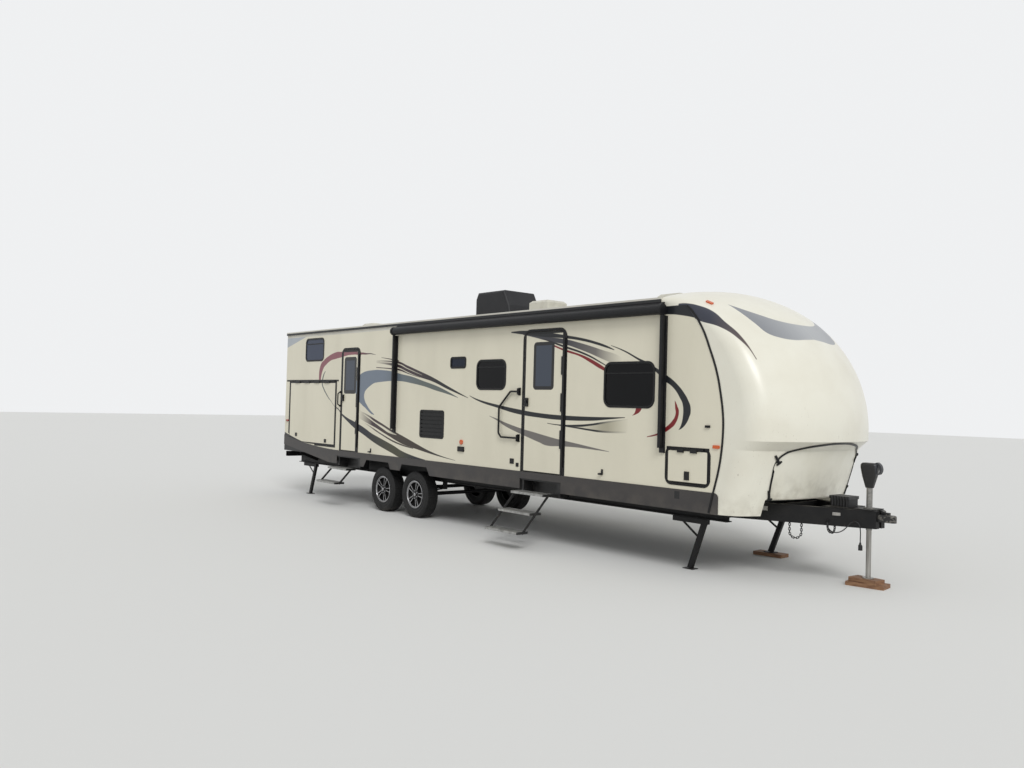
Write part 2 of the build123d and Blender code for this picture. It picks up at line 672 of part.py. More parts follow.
spring_y = RAIL_OFFSET
middle_station = sum(WHEEL_STATIONS) / 2
gear = []
for side in (-1, 1):
    y = side * spring_y
    for station in WHEEL_STATIONS:
        gear.append(spring_stack(station, y))
    eye_z = AXLE_Z + AXLE_RADIUS + 30 + SPRING_RISE
    for station in (WHEEL_STATIONS[0] - SPRING_HALF, WHEEL_STATIONS[1] + SPRING_HALF):
        gear.append(block((station - 22, y - 32, eye_z - 16), (station + 22, y + 32, RAIL_LOW - SEAT)))
    gear.append(
        block((middle_station - 75, y - 32, eye_z - 16), (middle_station + 75, y + 32, RAIL_LOW - SEAT))
    )
running_gear = gear[0]
for piece in gear[1:]:
    running_gear += piece
for station in WHEEL_STATIONS:
    running_gear += Pos(at(station), 0, AXLE_Z) * Rot(90, 0, 0) * Cylinder(AXLE_RADIUS, 2 * HUB_FACE)
    running_gear += Pos(at(station), 0, AXLE_Z) * Rot(90, 0, 0) * Cylinder(SPINDLE_RADIUS, 2 * SPINDLE_END)


def revolved(points, arcs=()):
    """Ring of a (radius, depth) profile turned about the y axis; depth runs inward from the outer face."""
    edges = []
    count = len(points)
    for i in range(count):
        start, end = points[i], points[(i + 1) % count]
        if i in arcs:
            edges.append(ThreePointArc(start, arcs[i], end))
        else:
            edges.append(Line(start, end))
    face = make_face(Wire(edges))
    plane = Plane(origin=(0, -TYRE_FACE, 0), x_dir=(1, 0, 0), z_dir=(0, 0, 1))
    return revolve(plane * face, axis=Axis((0, 0, 0), (0, 1, 0)))


TYRE_BULGE = 12
BEAD = RIM_RADIUS - 6
tyre_profile = [
    (BEAD, 24),
    (RIM_RADIUS + 22, 4),
    (TYRE_RADIUS - 40, 6),
    (TYRE_RADIUS, 38),
    (TYRE_RADIUS, TYRE_WIDTH - 38),
    (TYRE_RADIUS - 40, TYRE_WIDTH - 6),
    (RIM_RADIUS + 22, TYRE_WIDTH - 4),
    (BEAD, TYRE_WIDTH - 24),
]
tyre_arcs = {
    1: ((RIM_RADIUS + TYRE_RADIUS) / 2 - 10, -TYRE_BULGE + 4),
    2: (TYRE_RADIUS - 12, 16),
    4: (TYRE_RADIUS - 12, TYRE_WIDTH - 16),
    5: ((RIM_RADIUS + TYRE_RADIUS) / 2 - 10, TYRE_WIDTH + TYRE_BULGE - 4),
}
tyre_solid = revolved(tyre_profile, tyre_arcs)

# Alloy rim: barrel with lips, a dished spoke disc with windows, hub and brake drum behind it
BARREL = RIM_RADIUS - 6 - SEAT
rim_profile = [
    (BARREL - 34, 30),
    (BARREL - 8, 30),
    (BARREL - 8, 16),
    (RIM_RADIUS - 3, 10),
    (RIM_RADIUS - 1, 15),
    (BARREL, 19),
    (BARREL, TYRE_WIDTH - 24),
    (BARREL - 20, TYRE_WIDTH - 24),
    (BARREL - 20, 70),
    (BARREL - 34, 70),
]
barrel = revolved(rim_profile)
disc_profile = [
    (SPINDLE_RADIUS + SEAT, 20),
    (70, 20),
    (90, 34),
    (BARREL - 30, 38),
    (BARREL - 30, 66),
    (90, 62),
    (70, 62),
    (SPINDLE_RADIUS + SEAT, 62),
]
disc = revolved(disc_profile)
for i in range(RIM_WINDOWS):
    window = Polyline((96, -17), (182, -48), (182, 48), (96, 17), close=True)
    plane = Plane(origin=(0, -TYRE_FACE, 0), x_dir=(1, 0, 0), z_dir=(0, 1, 0))
    hole = extrude(plane * fillet(make_face(window).vertices(), 9), amount=100)
    disc -= hole.rotate(Axis.Y, i * 360 / RIM_WINDOWS)
drum_profile = [
    (SPINDLE_RADIUS + SEAT, 61),
    (152, 75),
    (158, 82),
    (158, 142),
    (AXLE_RADIUS + 8, 142),
    (AXLE_RADIUS + 8, 120),
    (SPINDLE_RADIUS + SEAT, 120),
]
drum = revolved(drum_profile)
cap_profile = [
    (0, 8), (26, 8), (34, 16), (34, 26), (SPINDLE_RADIUS + SEAT, 26), (SPINDLE_RADIUS + SEAT, 52), (0, 52)
]
rim_solid = barrel + disc + drum + revolved(cap_profile)

WHEELS = [
    (f"{end}_{hand}", station, side)
    for end, station in (("rear", WHEEL_STATIONS[0]), ("front", WHEEL_STATIONS[1]))
    for hand, side in (("right", -1), ("left", 1))
]
wheel_nodes = []
for label, station, side in WHEELS:
    for kind, solid in (("tyre", tyre_solid), ("rim", rim_solid)):
        piece = solid if side < 0 else mirrored(solid)
        wheel_nodes.append((f"{kind}_{label}", Pos(at(station), 0, AXLE_Z) * piece))

# Side skirts: sheet below the walls, cut for the wheels and rising at the rear
def skirt_outline():
    rise = SKIRT_RISE_START
    points_top = [(0, SKIRT_RISE_TOP), (1160, 1035), (rise, SKIRT_TOP)]
    corner = 55
    front_top, front_side = (SKIRT_FRONT - corner, SKIRT_TOP), (SKIRT_FRONT, SKIRT_TOP - corner)
    knee = corner * (1 - math.sqrt(0.5))
    tab_low = (WHEEL_STATIONS[0] + WHEEL_STATIONS[1]) / 2
    low_line = [
        (SKIRT_FRONT, SKIRT_LOW),
        (ARCH_HIGH, SKIRT_LOW),
        (ARCH_HIGH - 90, ARCH_TOP),
        (tab_low + ARCH_TAB_HALF + 60, ARCH_TOP),
        (tab_low + ARCH_TAB_HALF, SKIRT_LOW + 20),
        (tab_low - ARCH_TAB_HALF, SKIRT_LOW + 20),
        (tab_low - ARCH_TAB_HALF - 60, ARCH_TOP),
        (ARCH_LOW + 90, ARCH_TOP),
        (ARCH_LOW, SKIRT_LOW),
        (1900, SKIRT_LOW),
        (0, SKIRT_RISE_LOW),
    ]
    edges = [
        ThreePointArc(points_top[0], points_top[1], points_top[2]),
        Line(points_top[2], front_top),
        ThreePointArc(front_top, (SKIRT_FRONT - knee, SKIRT_TOP - knee), front_side),
        Line(front_side, low_line[0]),
    ]
    edges += [Line(a, b) for a, b in zip(low_line[:-1], low_line[1:])]
    edges.append(Line(low_line[-1], points_top[0]))
    return outline(*edges)


skirt = side_plate(skirt_outline(), -OUT, -OUT - SKIRT_THICK)
skirt_left = mirrored(skirt)
for station, _, _ in STEP_SETS:
    behind, ahead, notch_top = STEP_NOTCH
    low = (station - behind, -OUT - SKIRT_THICK - 1, SKIRT_LOW - 50)
    skirt -= block(low, (station + STEP_SIZE[0] + ahead, -OUT + 1, notch_top))

# Black rings of the windows, the louvred panel and the door frames, all on the door side
SASH_MIN = 450  # taller windows have a sash bar a quarter of the way down


def window_ring(window):
    """Ring on the wall face with a sleeve through the wall, a lip for the pane and a sash bar."""
    ring = rounded(*window) - rounded(*grown(window, -WINDOW_RING))
    lip = side_plate(ring, -OUT - PROUD, -OUT)
    sleeve_out, sleeve_in = grown(window, -WINDOW_LAP - SEAT), grown(window, -WINDOW_RING + 8)
    sleeve = side_plate(rounded(*sleeve_out) - rounded(*sleeve_in), -OUT, -IN)
    front = side_plate(rounded(*sleeve_out) - rounded(*grown(window, -WINDOW_RING)), -OUT, -OUT + 4)
    whole = lip + sleeve + front
    s0, s1, z0, z1, _ = window
    if z1 - z0 > SASH_MIN and s1 - s0 > SASH_MIN:
        bar_z = z1 - (z1 - z0) / 4
        whole += block(
            (s0 + WINDOW_RING - 4, -OUT - PROUD / 2, bar_z - 8), (s1 - WINDOW_RING + 4, -OUT + 4, bar_z + 8)
        )
    return whole


def window_pane(window):
    return side_plate(rounded(*grown(window, -WINDOW_RING + 8 - SEAT)), -OUT + 4, -OUT + 4 + GLASS_THICK)


DOOR_RING = 34
HINGE_STRIP = 44
HINGE_STAND = 14
KNUCKLE_RADIUS = 8
PIN_RADIUS = 4.5
KNUCKLE_GAP = 0.6


def door_ring(opening):
    s0, s1, z0, z1, radius = opening
    whole = doorway((s0 - DOOR_RING, s1 + HINGE_STRIP, z0, z1 + DOOR_RING, radius + DOOR_RING), 0)
    hole = doorway((s0, s1, z0 - 1, z1, radius), 0)
    return side_plate(whole - hole, -OUT - PROUD + 1, -OUT)


def hinge(length, count, strap, leaf_step):
    """Knuckles along z about the local origin: (fixed to the frame, moving with the leaf).

    Local x points to the leaf and local y out of the wall. leaf_step is the y of the leaf's face.
    """
    pitch = length / (2 * count + 1)
    fixed = Cylinder(PIN_RADIUS, length)
    moving = None
    frame_y = -HINGE_STAND + PROUD - 1
    for i in range(2 * count + 1):
        z = -length / 2 + pitch * (i + 0.5)
        tall = pitch - 2 * KNUCKLE_GAP
        if i % 2 == 0:
            knuckle = Pos(0, 0, z) * Cylinder(KNUCKLE_RADIUS, tall)
            pad_y = (frame_y + 0) / 2
            knuckle += Pos(-KNUCKLE_RADIUS / 2 - 4, pad_y, z) * Box(KNUCKLE_RADIUS + 8, -frame_y, tall)
            fixed += knuckle
        else:
            tube = Pos(0, 0, z) * (Cylinder(KNUCKLE_RADIUS, tall) - Cylinder(PIN_RADIUS + SEAT, tall + 1))
            top = KNUCKLE_RADIUS
            flap = Pos(strap / 2, top - 1.5, z) * Box(strap, 3, tall)
            flap -= Pos(0, 0, z) * Cylinder(PIN_RADIUS + SEAT, tall + 1)
            heel_x0 = 20
            heel = Pos(
                (heel_x0 + strap) / 2, (leaf_step + top - 1.5) / 2, z
            ) * Box(strap - heel_x0, top - 1.5 - leaf_step, tall)
            part = tube + flap + heel
            moving = part if moving is None else moving + part
    return fixed, moving


DOOR_LEAF_PROUD = 4
DOOR_LEAF_THICK = 42
LEAF_STEP = -HINGE_STAND + DOOR_LEAF_PROUD
DOORS = {
    "main_door": (MAIN_DOORWAY, (7636, 8063, 2146, 2819, 60)),
    "rear_door": (REAR_DOORWAY, (2367, 2804, 2046, 2730, 60)),
}


def axis_place(station, z, leaf_dir, along):
    """Frame on the hinge line: x to the leaf, y out of the door-side wall, z along the pin."""
    return Plane(origin=(at(station), -OUT - HINGE_STAND, z), x_dir=leaf_dir, z_dir=along)


frames = None
door_pieces = {}
for name, (opening, window) in DOORS.items():
    s0, s1, z0, z1, radius = opening
    leaf = side_plate(
        doorway(opening, RUN), -OUT - DOOR_LEAF_PROUD, -OUT - DOOR_LEAF_PROUD + DOOR_LEAF_THICK
    )
    leaf -= side_plate(rounded(*grown(window, -14)), -OUT - 20, -IN + 20)
    leaf -= side_plate(rounded(*grown(window, -2)), -OUT - 20, -OUT - DOOR_LEAF_PROUD + GLASS_THICK)
    pane = side_plate(
        rounded(*grown(window, -2 - SEAT)), -OUT - DOOR_LEAF_PROUD - 1, -OUT - DOOR_LEAF_PROUD + GLASS_THICK
    )
    hinge_z = (z0 + z1) / 2
    place = axis_place(s1 + 4, hinge_z, (-1, 0, 0), (0, 0, 1))
    fixed, moving = hinge(z1 - z0 - 2 * radius, 3, 52, LEAF_STEP)
    lock_z = z0 + 985
    lock = block(
        (s0 + 46, -OUT - DOOR_LEAF_PROUD - 26, lock_z - 62),
        (s0 + 112, -OUT - DOOR_LEAF_PROUD + 1, lock_z + 62),
    )
    lock = fillet(lock.edges().filter_by(Axis.Y), 10)
    lock += block(
        (s0 + 60, -OUT - DOOR_LEAF_PROUD - 38, lock_z - 14),
        (s0 + 98, -OUT - DOOR_LEAF_PROUD - 25, lock_z + 30),
    )
    door_pieces[name] = leaf + place * moving + lock
    door_pieces[name + "_glass"] = pane
    part = door_ring(opening) + place * fixed
    frames = part if frames is None else frames + part

# Kitchen hatch and storage doors, hinged along their tops
HATCH_THICK = 42


def top_hinged(shape, opening, count):
    """Leaf of a top-hinged door, its moving knuckles, and the fixed knuckles with their rail."""
    s0, s1, z0, z1, radius = opening
    leaf = side_plate(shape, -OUT - DOOR_LEAF_PROUD, -OUT - DOOR_LEAF_PROUD + HATCH_THICK)
    place = axis_place((s0 + s1) / 2, z1 + 4, (0, 0, -1), (-1, 0, 0))
    length = s1 - s0 - 2 * max(radius, 40)
    fixed, moving = hinge(length, count, 40, LEAF_STEP)
    rail = block((s0 - 10, -OUT - PROUD + 1, z1), (s1 + 10, -OUT, z1 + 30))
    return leaf + place * moving, rail + place * fixed


kitchen_hatch, hatch_rail = top_hinged(hatch_outline(RUN), HATCH_OPENING, 4)
HATCH_RING = 24
hatch_ring = hatch_outline(-HATCH_RING) - hatch_outline(0)
hatch_ring -= make_face(Polyline((0, 900), (1290, 900), (1290, 1120), (0, 1240), close=True))
hatch_frame = side_plate(hatch_ring, -OUT - PROUD + 1, -OUT) + hatch_rail
HATCH_LATCHES = ((520, 1175), (1720, 1102))  # station, low z
for station, z in HATCH_LATCHES:
    low = (station - 40, -OUT - DOOR_LEAF_PROUD - 10, z)
    high = (station + 40, -OUT - DOOR_LEAF_PROUD + 1, z + 70)
    kitchen_hatch += block(low, high)
storage_shape = rounded(*grown(STORAGE_OPENING, -RUN))
storage_door, storage_rail = top_hinged(storage_shape, STORAGE_OPENING, 2)
s_mid = (STORAGE_OPENING[0] + STORAGE_OPENING[1]) / 2
storage_door += block(
    (s_mid - 36, -OUT - DOOR_LEAF_PROUD - 12, STORAGE_OPENING[2] + 40),
    (s_mid + 36, -OUT - DOOR_LEAF_PROUD + 1, STORAGE_OPENING[2] + 142),
)
STORAGE_RING = 30
storage_ring = side_plate(
    rounded(*grown(STORAGE_OPENING, STORAGE_RING)) - rounded(*STORAGE_OPENING), -OUT - PROUD + 1, -OUT
)
catch_station, catch_z = 10659, 1739
storage_catch = block(
    (catch_station - 30, -OUT - 22, catch_z - 14), (catch_station + 30, -OUT, catch_z + 14)
)
storage_frame = storage_ring + storage_rail
frames = [frames, hatch_frame, storage_frame, storage_catch]
vent = side_plate(rounded(*VENT_PANEL), -OUT - PROUD, -OUT)
vent += side_plate(rounded(*grown(VENT_PANEL, -WINDOW_LAP - SEAT)), -OUT, -OUT + 20)
LOUVRES = 7
v0, v1, vz0, vz1, _ = VENT_PANEL
for i in range(LOUVRES):
    z = vz0 + 40 + i * (vz1 - vz0 - 80) / (LOUVRES - 1)
    vent -= block((v0 + 40, -OUT - PROUD - 1, z - 9), (v1 - 40, -OUT + 8, z + 9))
frames.append(vent)
frames += [window_ring(w) for w in RIGHT_WINDOWS]
frames += [mirrored(window_ring(w)) for w in LEFT_WINDOWS]
frames.append(mirrored(storage_frame))

# Road-side fittings: water-heater door, furnace vent and power inlet
HEATER_DOOR = (2500, 2830, 1140, 1470, 20)
FURNACE_VENT = (8150, 8400, 1180, 1330, 14)
POWER_INLET = (1500, 1200)  # station, z
heater_door = side_plate(rounded(*HEATER_DOOR), -OUT - 8, -OUT)
for i in range(5):
    z = HEATER_DOOR[2] + 70 + i * 45
    heater_door -= block((HEATER_DOOR[0] + 50, -OUT - 9, z), (HEATER_DOOR[1] - 50, -OUT - 4, z + 18))
furnace_vent = side_plate(rounded(*FURNACE_VENT), -OUT - 10, -OUT)
for station in (FURNACE_VENT[0] + 70, FURNACE_VENT[1] - 70):
    hole = Pos(
        at(station), -OUT, (FURNACE_VENT[2] + FURNACE_VENT[3]) / 2
    ) * Rot(90, 0, 0) * Cylinder(34, 12)
    furnace_vent -= Pos(0, -10, 0) * hole
power_inlet = Pos(at(POWER_INLET[0]), -OUT - 9, POWER_INLET[1]) * Rot(90, 0, 0) * Cylinder(62, 18)
frames += [mirrored(heater_door), mirrored(furnace_vent), mirrored(power_inlet)]
window_glass = [window_pane(w) for w in RIGHT_WINDOWS] + [mirrored(window_pane(w)) for w in LEFT_WINDOWS]

# Folding grab handle beside the main door
HANDLE_STATION = 7350
HANDLE_LOW, HANDLE_HIGH = 1452, 2120
HANDLE_REACH = 415
HANDLE_BEND = 165  # how far the top run goes before it slopes down
HANDLE_TUBE = 14
HANDLE_STAND = 34
handle_mounts = []
for z in (HANDLE_LOW, HANDLE_HIGH):
    plate = block((HANDLE_STATION - 26, -OUT - 8, z - 55), (HANDLE_STATION + 26, -OUT, z + 55))
    ear = block((HANDLE_STATION - 12, -OUT - HANDLE_STAND, z - 46), (HANDLE_STATION + 12, -OUT - 7, z - 34))
    ear += Pos(at(HANDLE_STATION), -OUT - HANDLE_STAND, z - 40) * Cylinder(16, 12)
    ear_top = Pos(0, 0, 80) * ear
    pin = Pos(at(HANDLE_STATION), -OUT - HANDLE_STAND, z) * Cylinder(5, 80)
    handle_mounts.append(plate + ear + ear_top + pin)
reach = HANDLE_REACH
handle_path = FilletPolyline(
    (at(HANDLE_STATION - 8), -OUT - HANDLE_STAND, HANDLE_HIGH),
    (at(HANDLE_STATION - HANDLE_BEND), -OUT - HANDLE_STAND, HANDLE_HIGH),
    (at(HANDLE_STATION - reach), -OUT - HANDLE_STAND, HANDLE_HIGH - 230),
    (at(HANDLE_STATION - reach), -OUT - HANDLE_STAND, HANDLE_LOW + 60),
    (at(HANDLE_STATION - reach + 60), -OUT - HANDLE_STAND, HANDLE_LOW),
    (at(HANDLE_STATION - 8), -OUT - HANDLE_STAND, HANDLE_LOW),
    radius=40,
)
grab_handle = sweep(Plane(handle_path @ 0, z_dir=handle_path % 0) * Circle(HANDLE_TUBE), path=handle_path)
for z in (HANDLE_LOW, HANDLE_HIGH):
    boss = Pos(at(HANDLE_STATION), -OUT - HANDLE_STAND, z) * (Cylinder(16, 66) - Cylinder(5 + SEAT, 80))
    grab_handle += boss
grab_handle -= Pos(
    at(HANDLE_STATION), -OUT - HANDLE_STAND, (HANDLE_LOW + HANDLE_HIGH) / 2
) * Cylinder(5 + SEAT, 1200)

# Fixed handle beside the rear door
REAR_HANDLE = (2236, 1820, 2078, 52)  # station, low z, high z, how far it stands out
rear_station, handle_low, handle_high, stand = REAR_HANDLE
rear_path = FilletPolyline(
    (at(rear_station), -OUT - 8, handle_low),
    (at(rear_station), -OUT - stand, handle_low + 30),
    (at(rear_station), -OUT - stand, handle_high - 30),
    (at(rear_station), -OUT - 8, handle_high),
    radius=22,
)
rear_handle = sweep(Plane(rear_path @ 0, z_dir=rear_path % 0) * Circle(11), path=rear_path)
for z in (handle_low, handle_high):
    rear_handle += Pos(at(rear_station), -OUT - 5, z) * Rot(90, 0, 0) * Cylinder(19, 10)

# Awning: rolled canopy under the roof edge between two folding arms
ARM_STATIONS = (4121, 10001)
ARM_LOW = 1400
ARM_WIDTH = 70
ROLL_RADIUS = 62
ROLL_Z = 3128
CAP_LENGTH = 40
CAP_RADIUS = ROLL_RADIUS + 8
roll_y = -OUT - 12 - ROLL_RADIUS
roll_length = ARM_STATIONS[1] - ARM_STATIONS[0] - CAP_LENGTH + 2
roll_middle = at(sum(ARM_STATIONS) / 2)
awning_roller = Pos(roll_middle, roll_y, ROLL_Z) * Rot(0, 90, 0) * Cylinder(ROLL_RADIUS, roll_length)
for station in ARM_STATIONS:
    awning_roller += Pos(at(station), roll_y, ROLL_Z) * Rot(0, 90, 0) * Cylinder(CAP_RADIUS, CAP_LENGTH)
awning_arms = []
for station in ARM_STATIONS:
    base = block(
        (station - ARM_WIDTH / 2, -OUT - 30, ARM_LOW),
        (station + ARM_WIDTH / 2, -OUT, ROLL_Z - ROLL_RADIUS - 14),
    )
    lift = block(
        (station - 22, -OUT - 88, ARM_LOW + 60), (station + 22, -OUT - 29, ROLL_Z - CAP_RADIUS - SEAT)
    )
    awning_arms.append(fillet(lift.edges().filter_by(Axis.Z), 8) + base)

# Roof equipment
ROOF_TOP = WALL_TOP + ROOF_EDGE + ROOF_CROWN
AC = (5150, 5990, 350, 3800)
ac_low = ROOF_TOP + SEAT
ac_profile = outline(
    Line((AC[0], ac_low), (AC[1] + 60, ac_low)),
    Line((AC[1] + 60, ac_low), (AC[1] + 20, ac_low + 150)),
    Line((AC[1] + 20, ac_low + 150), (AC[1] - 110, AC[3])),
    Line((AC[1] - 110, AC[3]), (AC[0] + 60, AC[3])),
    Line((AC[0] + 60, AC[3]), (AC[0], AC[3] - 110)),
    Line((AC[0], AC[3] - 110), (AC[0], ac_low)),
)
air_conditioner = side_plate(ac_profile, -AC[2], AC[2])
air_conditioner = fillet(
    air_conditioner.edges().filter_by(
        lambda e: abs(e.center().Y) > AC[2] - 1 and e.center().Z > ac_low + 20
    ),
    45,
)
VENTS = ((1450, 0, 400, 400, 95), (6650, -60, 420, 420, 180), (9200, 0, 400, 400, 95))
roof_vents = []
for station, y, length, width, height in VENTS:
    skirt_box = Box(length - 50, width - 50, 60, align=(Align.CENTER, Align.CENTER, Align.MIN))
    lid = Box(length, width, height - 40, align=(Align.CENTER, Align.CENTER, Align.MIN))
    lid = chamfer(lid.edges().group_by(Axis.Z)[-1], min(35, height - 50))
    roof_vents.append(Pos(at(station), y, ROOF_TOP + SEAT) * (skirt_box + Pos(0, 0, 40) * lid))

# Folding entry steps: well box, treads and side links
STEP_WELL_LOW = 678


def entry_steps(station, top_z, count):
    """Trays one under and outside the other, joined by side links to the box under the floor."""
    length, depth, thick = STEP_SIZE
    whole = None
    tops = []
    for i in range(count):
        y_out = -(STEP_FIRST_OUT + i * STEP_RUN)
        z = top_z - i * STEP_RISE
        tray = block((station, y_out, z - thick), (station + length, y_out + depth, z))
        tray = fillet(tray.edges().filter_by(Axis.Z), 18)
        tray -= block(
            (station + 8, y_out + 8, z - thick - 1), (station + length - 8, y_out + depth - 8, z - 5)
        )
        tops.append((y_out + depth / 2, z - thick / 2))
        whole = tray if whole is None else whole + tray
    anchor = (-OUT + 70, STEP_WELL_LOW + 22)
    chain = [anchor] + tops
    for (y_a, z_a), (y_b, z_b) in zip(chain[:-1], chain[1:]):
        run, drop = y_b - y_a, z_b - z_a
        length_link = math.hypot(run, drop)
        tilt = math.degrees(math.atan2(drop, run))
        for s in (station + 4, station + length - 4):
            link = Pos(
                at(s), (y_a + y_b) / 2, (z_a + z_b) / 2
            ) * Rot(tilt, 0, 0) * Box(8, length_link + 30, 34)
            whole += link
    well = block((station - 40, -OUT + 20, STEP_WELL_LOW), (station + length + 70, -OUT + 200, RAIL_TOP))
    well -= block((station, -OUT + 19, STEP_WELL_LOW - 1), (station + length, -OUT + 194, RAIL_TOP - 6))
    return whole + well


entry_step_sets = [entry_steps(*row) for row in STEP_SETS]

# Slide-out rooms: a box open to the inside, its outer panel with a flange, and window rings
def slide_room(opening, windows):
    s0, s1, z0, z1 = opening
    gap = SLIDE_TRAVEL_GAP
    y_outer = OUT + SLIDE_OUT + SLIDE_SKIN
    y_panel = OUT + SLIDE_OUT
    y_inner = IN - 12
    shell = block((s0 + gap, y_inner, z0 + SEAT), (s1 - gap, y_panel + 1, z1 - gap))
    shell -= block(
        (s0 + gap + SLIDE_SKIN, y_inner - 1, z0 + SLIDE_SKIN), (
            s1 - gap - SLIDE_SKIN, y_panel - 1, z1 - gap - SLIDE_SKIN
        )
    )
    panel = block(
        (s0 - SLIDE_FLANGE, y_panel, z0 - SLIDE_FLANGE), (s1 + SLIDE_FLANGE, y_outer, z1 + SLIDE_FLANGE)
    )
    panel = fillet(panel.edges().filter_by(Axis.Y), 20)
    room = shell + panel
    panes = []
    for window in windows:
        cut = mirrored(side_plate(rounded(*grown(window, -WINDOW_LAP)), -y_outer - 1, -y_panel + 2))
        room -= cut
        ring = side_plate(
            rounded(*window) - rounded(*grown(window, -WINDOW_RING)), -y_outer - PROUD, -y_outer
        )
        ring += side_plate(
            rounded(*grown(window, -WINDOW_LAP)) - rounded(
                *grown(window, -WINDOW_RING)
            ), -y_outer, -y_outer + 4
        )
        room += mirrored(ring)
        pane = side_plate(
            rounded(*grown(window, -WINDOW_LAP - SEAT)), -y_outer + 4, -y_outer + 4 + GLASS_THICK
        )
        panes.append(mirrored(pane))
    return room, panes


LIVING_WINDOWS = ((4500, 5700, 1950, 2620, 80), (6200, 7200, 1950, 2620, 80))
BEDROOM_WINDOWS = ((9050, 9550, 1950, 2500, 70),)
slide_living, living_panes = slide_room(LIVING_OPENING, LIVING_WINDOWS)
slide_bedroom, bedroom_panes = slide_room(BEDROOM_OPENING, BEDROOM_WINDOWS)

# Lamps: markers on both sides, a round porch lamp, tail lamps and roof markers
MARKERS = ((10783, 1511), (114, 1480))  # station, z
PORCH_LAMP = (6012, 1328, 38)  # station, z, radius
TAIL_LAMP = (1010, 1150, 1330, 60)  # y, low z, high z, half width
REAR_MARKERS = (-330, 0, 330)  # y
CAP_LAMP = ((10488, -1014, 3196), (0.41, -0.27, 0.87))  # station, y, z and the way that it faces
lamps = [Pos(at(PORCH_LAMP[0]), -OUT - 8, PORCH_LAMP[1]) * Rot(90, 0, 0) * Cylinder(PORCH_LAMP[2], 16)]
for station, z in MARKERS:
    marker = fillet((Pos(at(station), -OUT - 8, z) * Box(90, 16, 38)).edges().filter_by(Axis.Y), 10)
    lamps += [marker, mirrored(marker)]
tail_y, tail_low, tail_high, tail_half = TAIL_LAMP
tail_lamp = block((-28, -tail_y - tail_half, tail_low), (0, -tail_y + tail_half, tail_high))
tail_lamp = fillet(tail_lamp.edges().filter_by(Axis.X), 16)
lamps += [tail_lamp, mirrored(tail_lamp)]
for y in REAR_MARKERS:
    lamps.append(block((-18, y - 45, WALL_TOP - 70), (0, y + 45, WALL_TOP - 40)))
(cap_s, cap_y, cap_z), cap_normal = CAP_LAMP
cap_lamp = Plane(
    origin=(at(cap_s), cap_y, cap_z), x_dir=(0.9, 0.1, -0.39), z_dir=cap_normal
) * Box(96, 44, 34)
cap_lamp = fillet(cap_lamp.edges().group_by(SortBy.LENGTH)[0], 10) - cap_outer
lamps += [cap_lamp, mirrored(cap_lamp)]

# Kitchen bay behind the hatch: liner, worktop with a sink, drawer block and cold box
BAY_BACK = 560  # depth behind the wall's inner face
BAY_SKIN = 12
bay_s0, bay_s1 = HATCH_OPENING[0] - 30, HATCH_OPENING[1] + 30
bay_z0, bay_z1 = HATCH_OPENING[2] - 30, HATCH_OPENING[3] + 20
bay_front, bay_deep = -IN + SEAT, -IN + BAY_BACK
kitchen_bay = block((bay_s0, bay_front, bay_z0), (bay_s1, bay_deep, bay_z1))
kitchen_bay -= block(
    (bay_s0 + BAY_SKIN, bay_front - 1, bay_z0 + BAY_SKIN), (
        bay_s1 - BAY_SKIN, bay_deep - BAY_SKIN, bay_z1 - BAY_SKIN
    )
)
WORKTOP_Z = 1560
worktop = block(
    (bay_s0 + BAY_SKIN, bay_front + 30, WORKTOP_Z - 30), (bay_s1 - BAY_SKIN, bay_deep - BAY_SKIN, WORKTOP_Z)
)
SINK = (520, 900, 330, 140)  # low station, high station, width, depth
sink_y = (bay_front + bay_deep) / 2
sink_low = (SINK[0] - 8, sink_y - SINK[2] / 2 - 8, WORKTOP_Z - SINK[3] - 8)
worktop += block(sink_low, (SINK[1] + 8, sink_y + SINK[2] / 2 + 8, WORKTOP_Z))
worktop -= block(
    (SINK[0], sink_y - SINK[2] / 2, WORKTOP_Z - SINK[3]), (SINK[1], sink_y + SINK[2] / 2, WORKTOP_Z + 1)
)
COLD_BOX = (1560, 2040)  # low and high station under the worktop
kitchen_bay += worktop
kitchen_bay += block(
    (COLD_BOX[0], bay_front + 50, bay_z0 + BAY_SKIN), (COLD_BOX[1], bay_deep - BAY_SKIN, WORKTOP_Z - 30)
)

# Pass-through storage bay between the two front side doors, lined with four panels
PASS_STATIONS = (STORAGE_OPENING[0] - 30, STORAGE_OPENING[1] + 30)
PASS_TOP = STORAGE_OPENING[3] + 40
pass_rear, pass_front = PASS_STATIONS
pass_y = IN - SEAT
under, over = FLOOR_TOP + BAY_SKIN, PASS_TOP - BAY_SKIN
storage_bay = [
    block((pass_rear, -pass_y, FLOOR_TOP), (pass_front, pass_y, under)),
    block((pass_rear, -pass_y, over), (pass_front, pass_y, PASS_TOP)),
    block((pass_rear, -pass_y, under), (pass_rear + BAY_SKIN, pass_y, over)),
    block((pass_front - BAY_SKIN, -pass_y, under), (pass_front, pass_y, over)),
]


# Trailer cord, hanging from the near beam of the A-frame with its plug
CORD_RADIUS = 6
GLAND_STATION, GLAND_Z = JACK_STATION - 340, 715


def beam_face(station):
    """y of the near beam's outer face."""
    half = TONGUE_END_HALF + (
        TONGUE_ROOT_HALF - TONGUE_END_HALF
    ) * (TONGUE_END - station) / (TONGUE_END - TONGUE_ROOT)
    return -(half + TONGUE_WIDTH / 2)


beam_turn = math.atan2(TONGUE_ROOT_HALF - TONGUE_END_HALF, TONGUE_END - TONGUE_ROOT)
outward = Vector(math.sin(beam_turn), -math.cos(beam_turn), 0)
gland_base = Vector(at(GLAND_STATION), beam_face(GLAND_STATION), GLAND_Z)
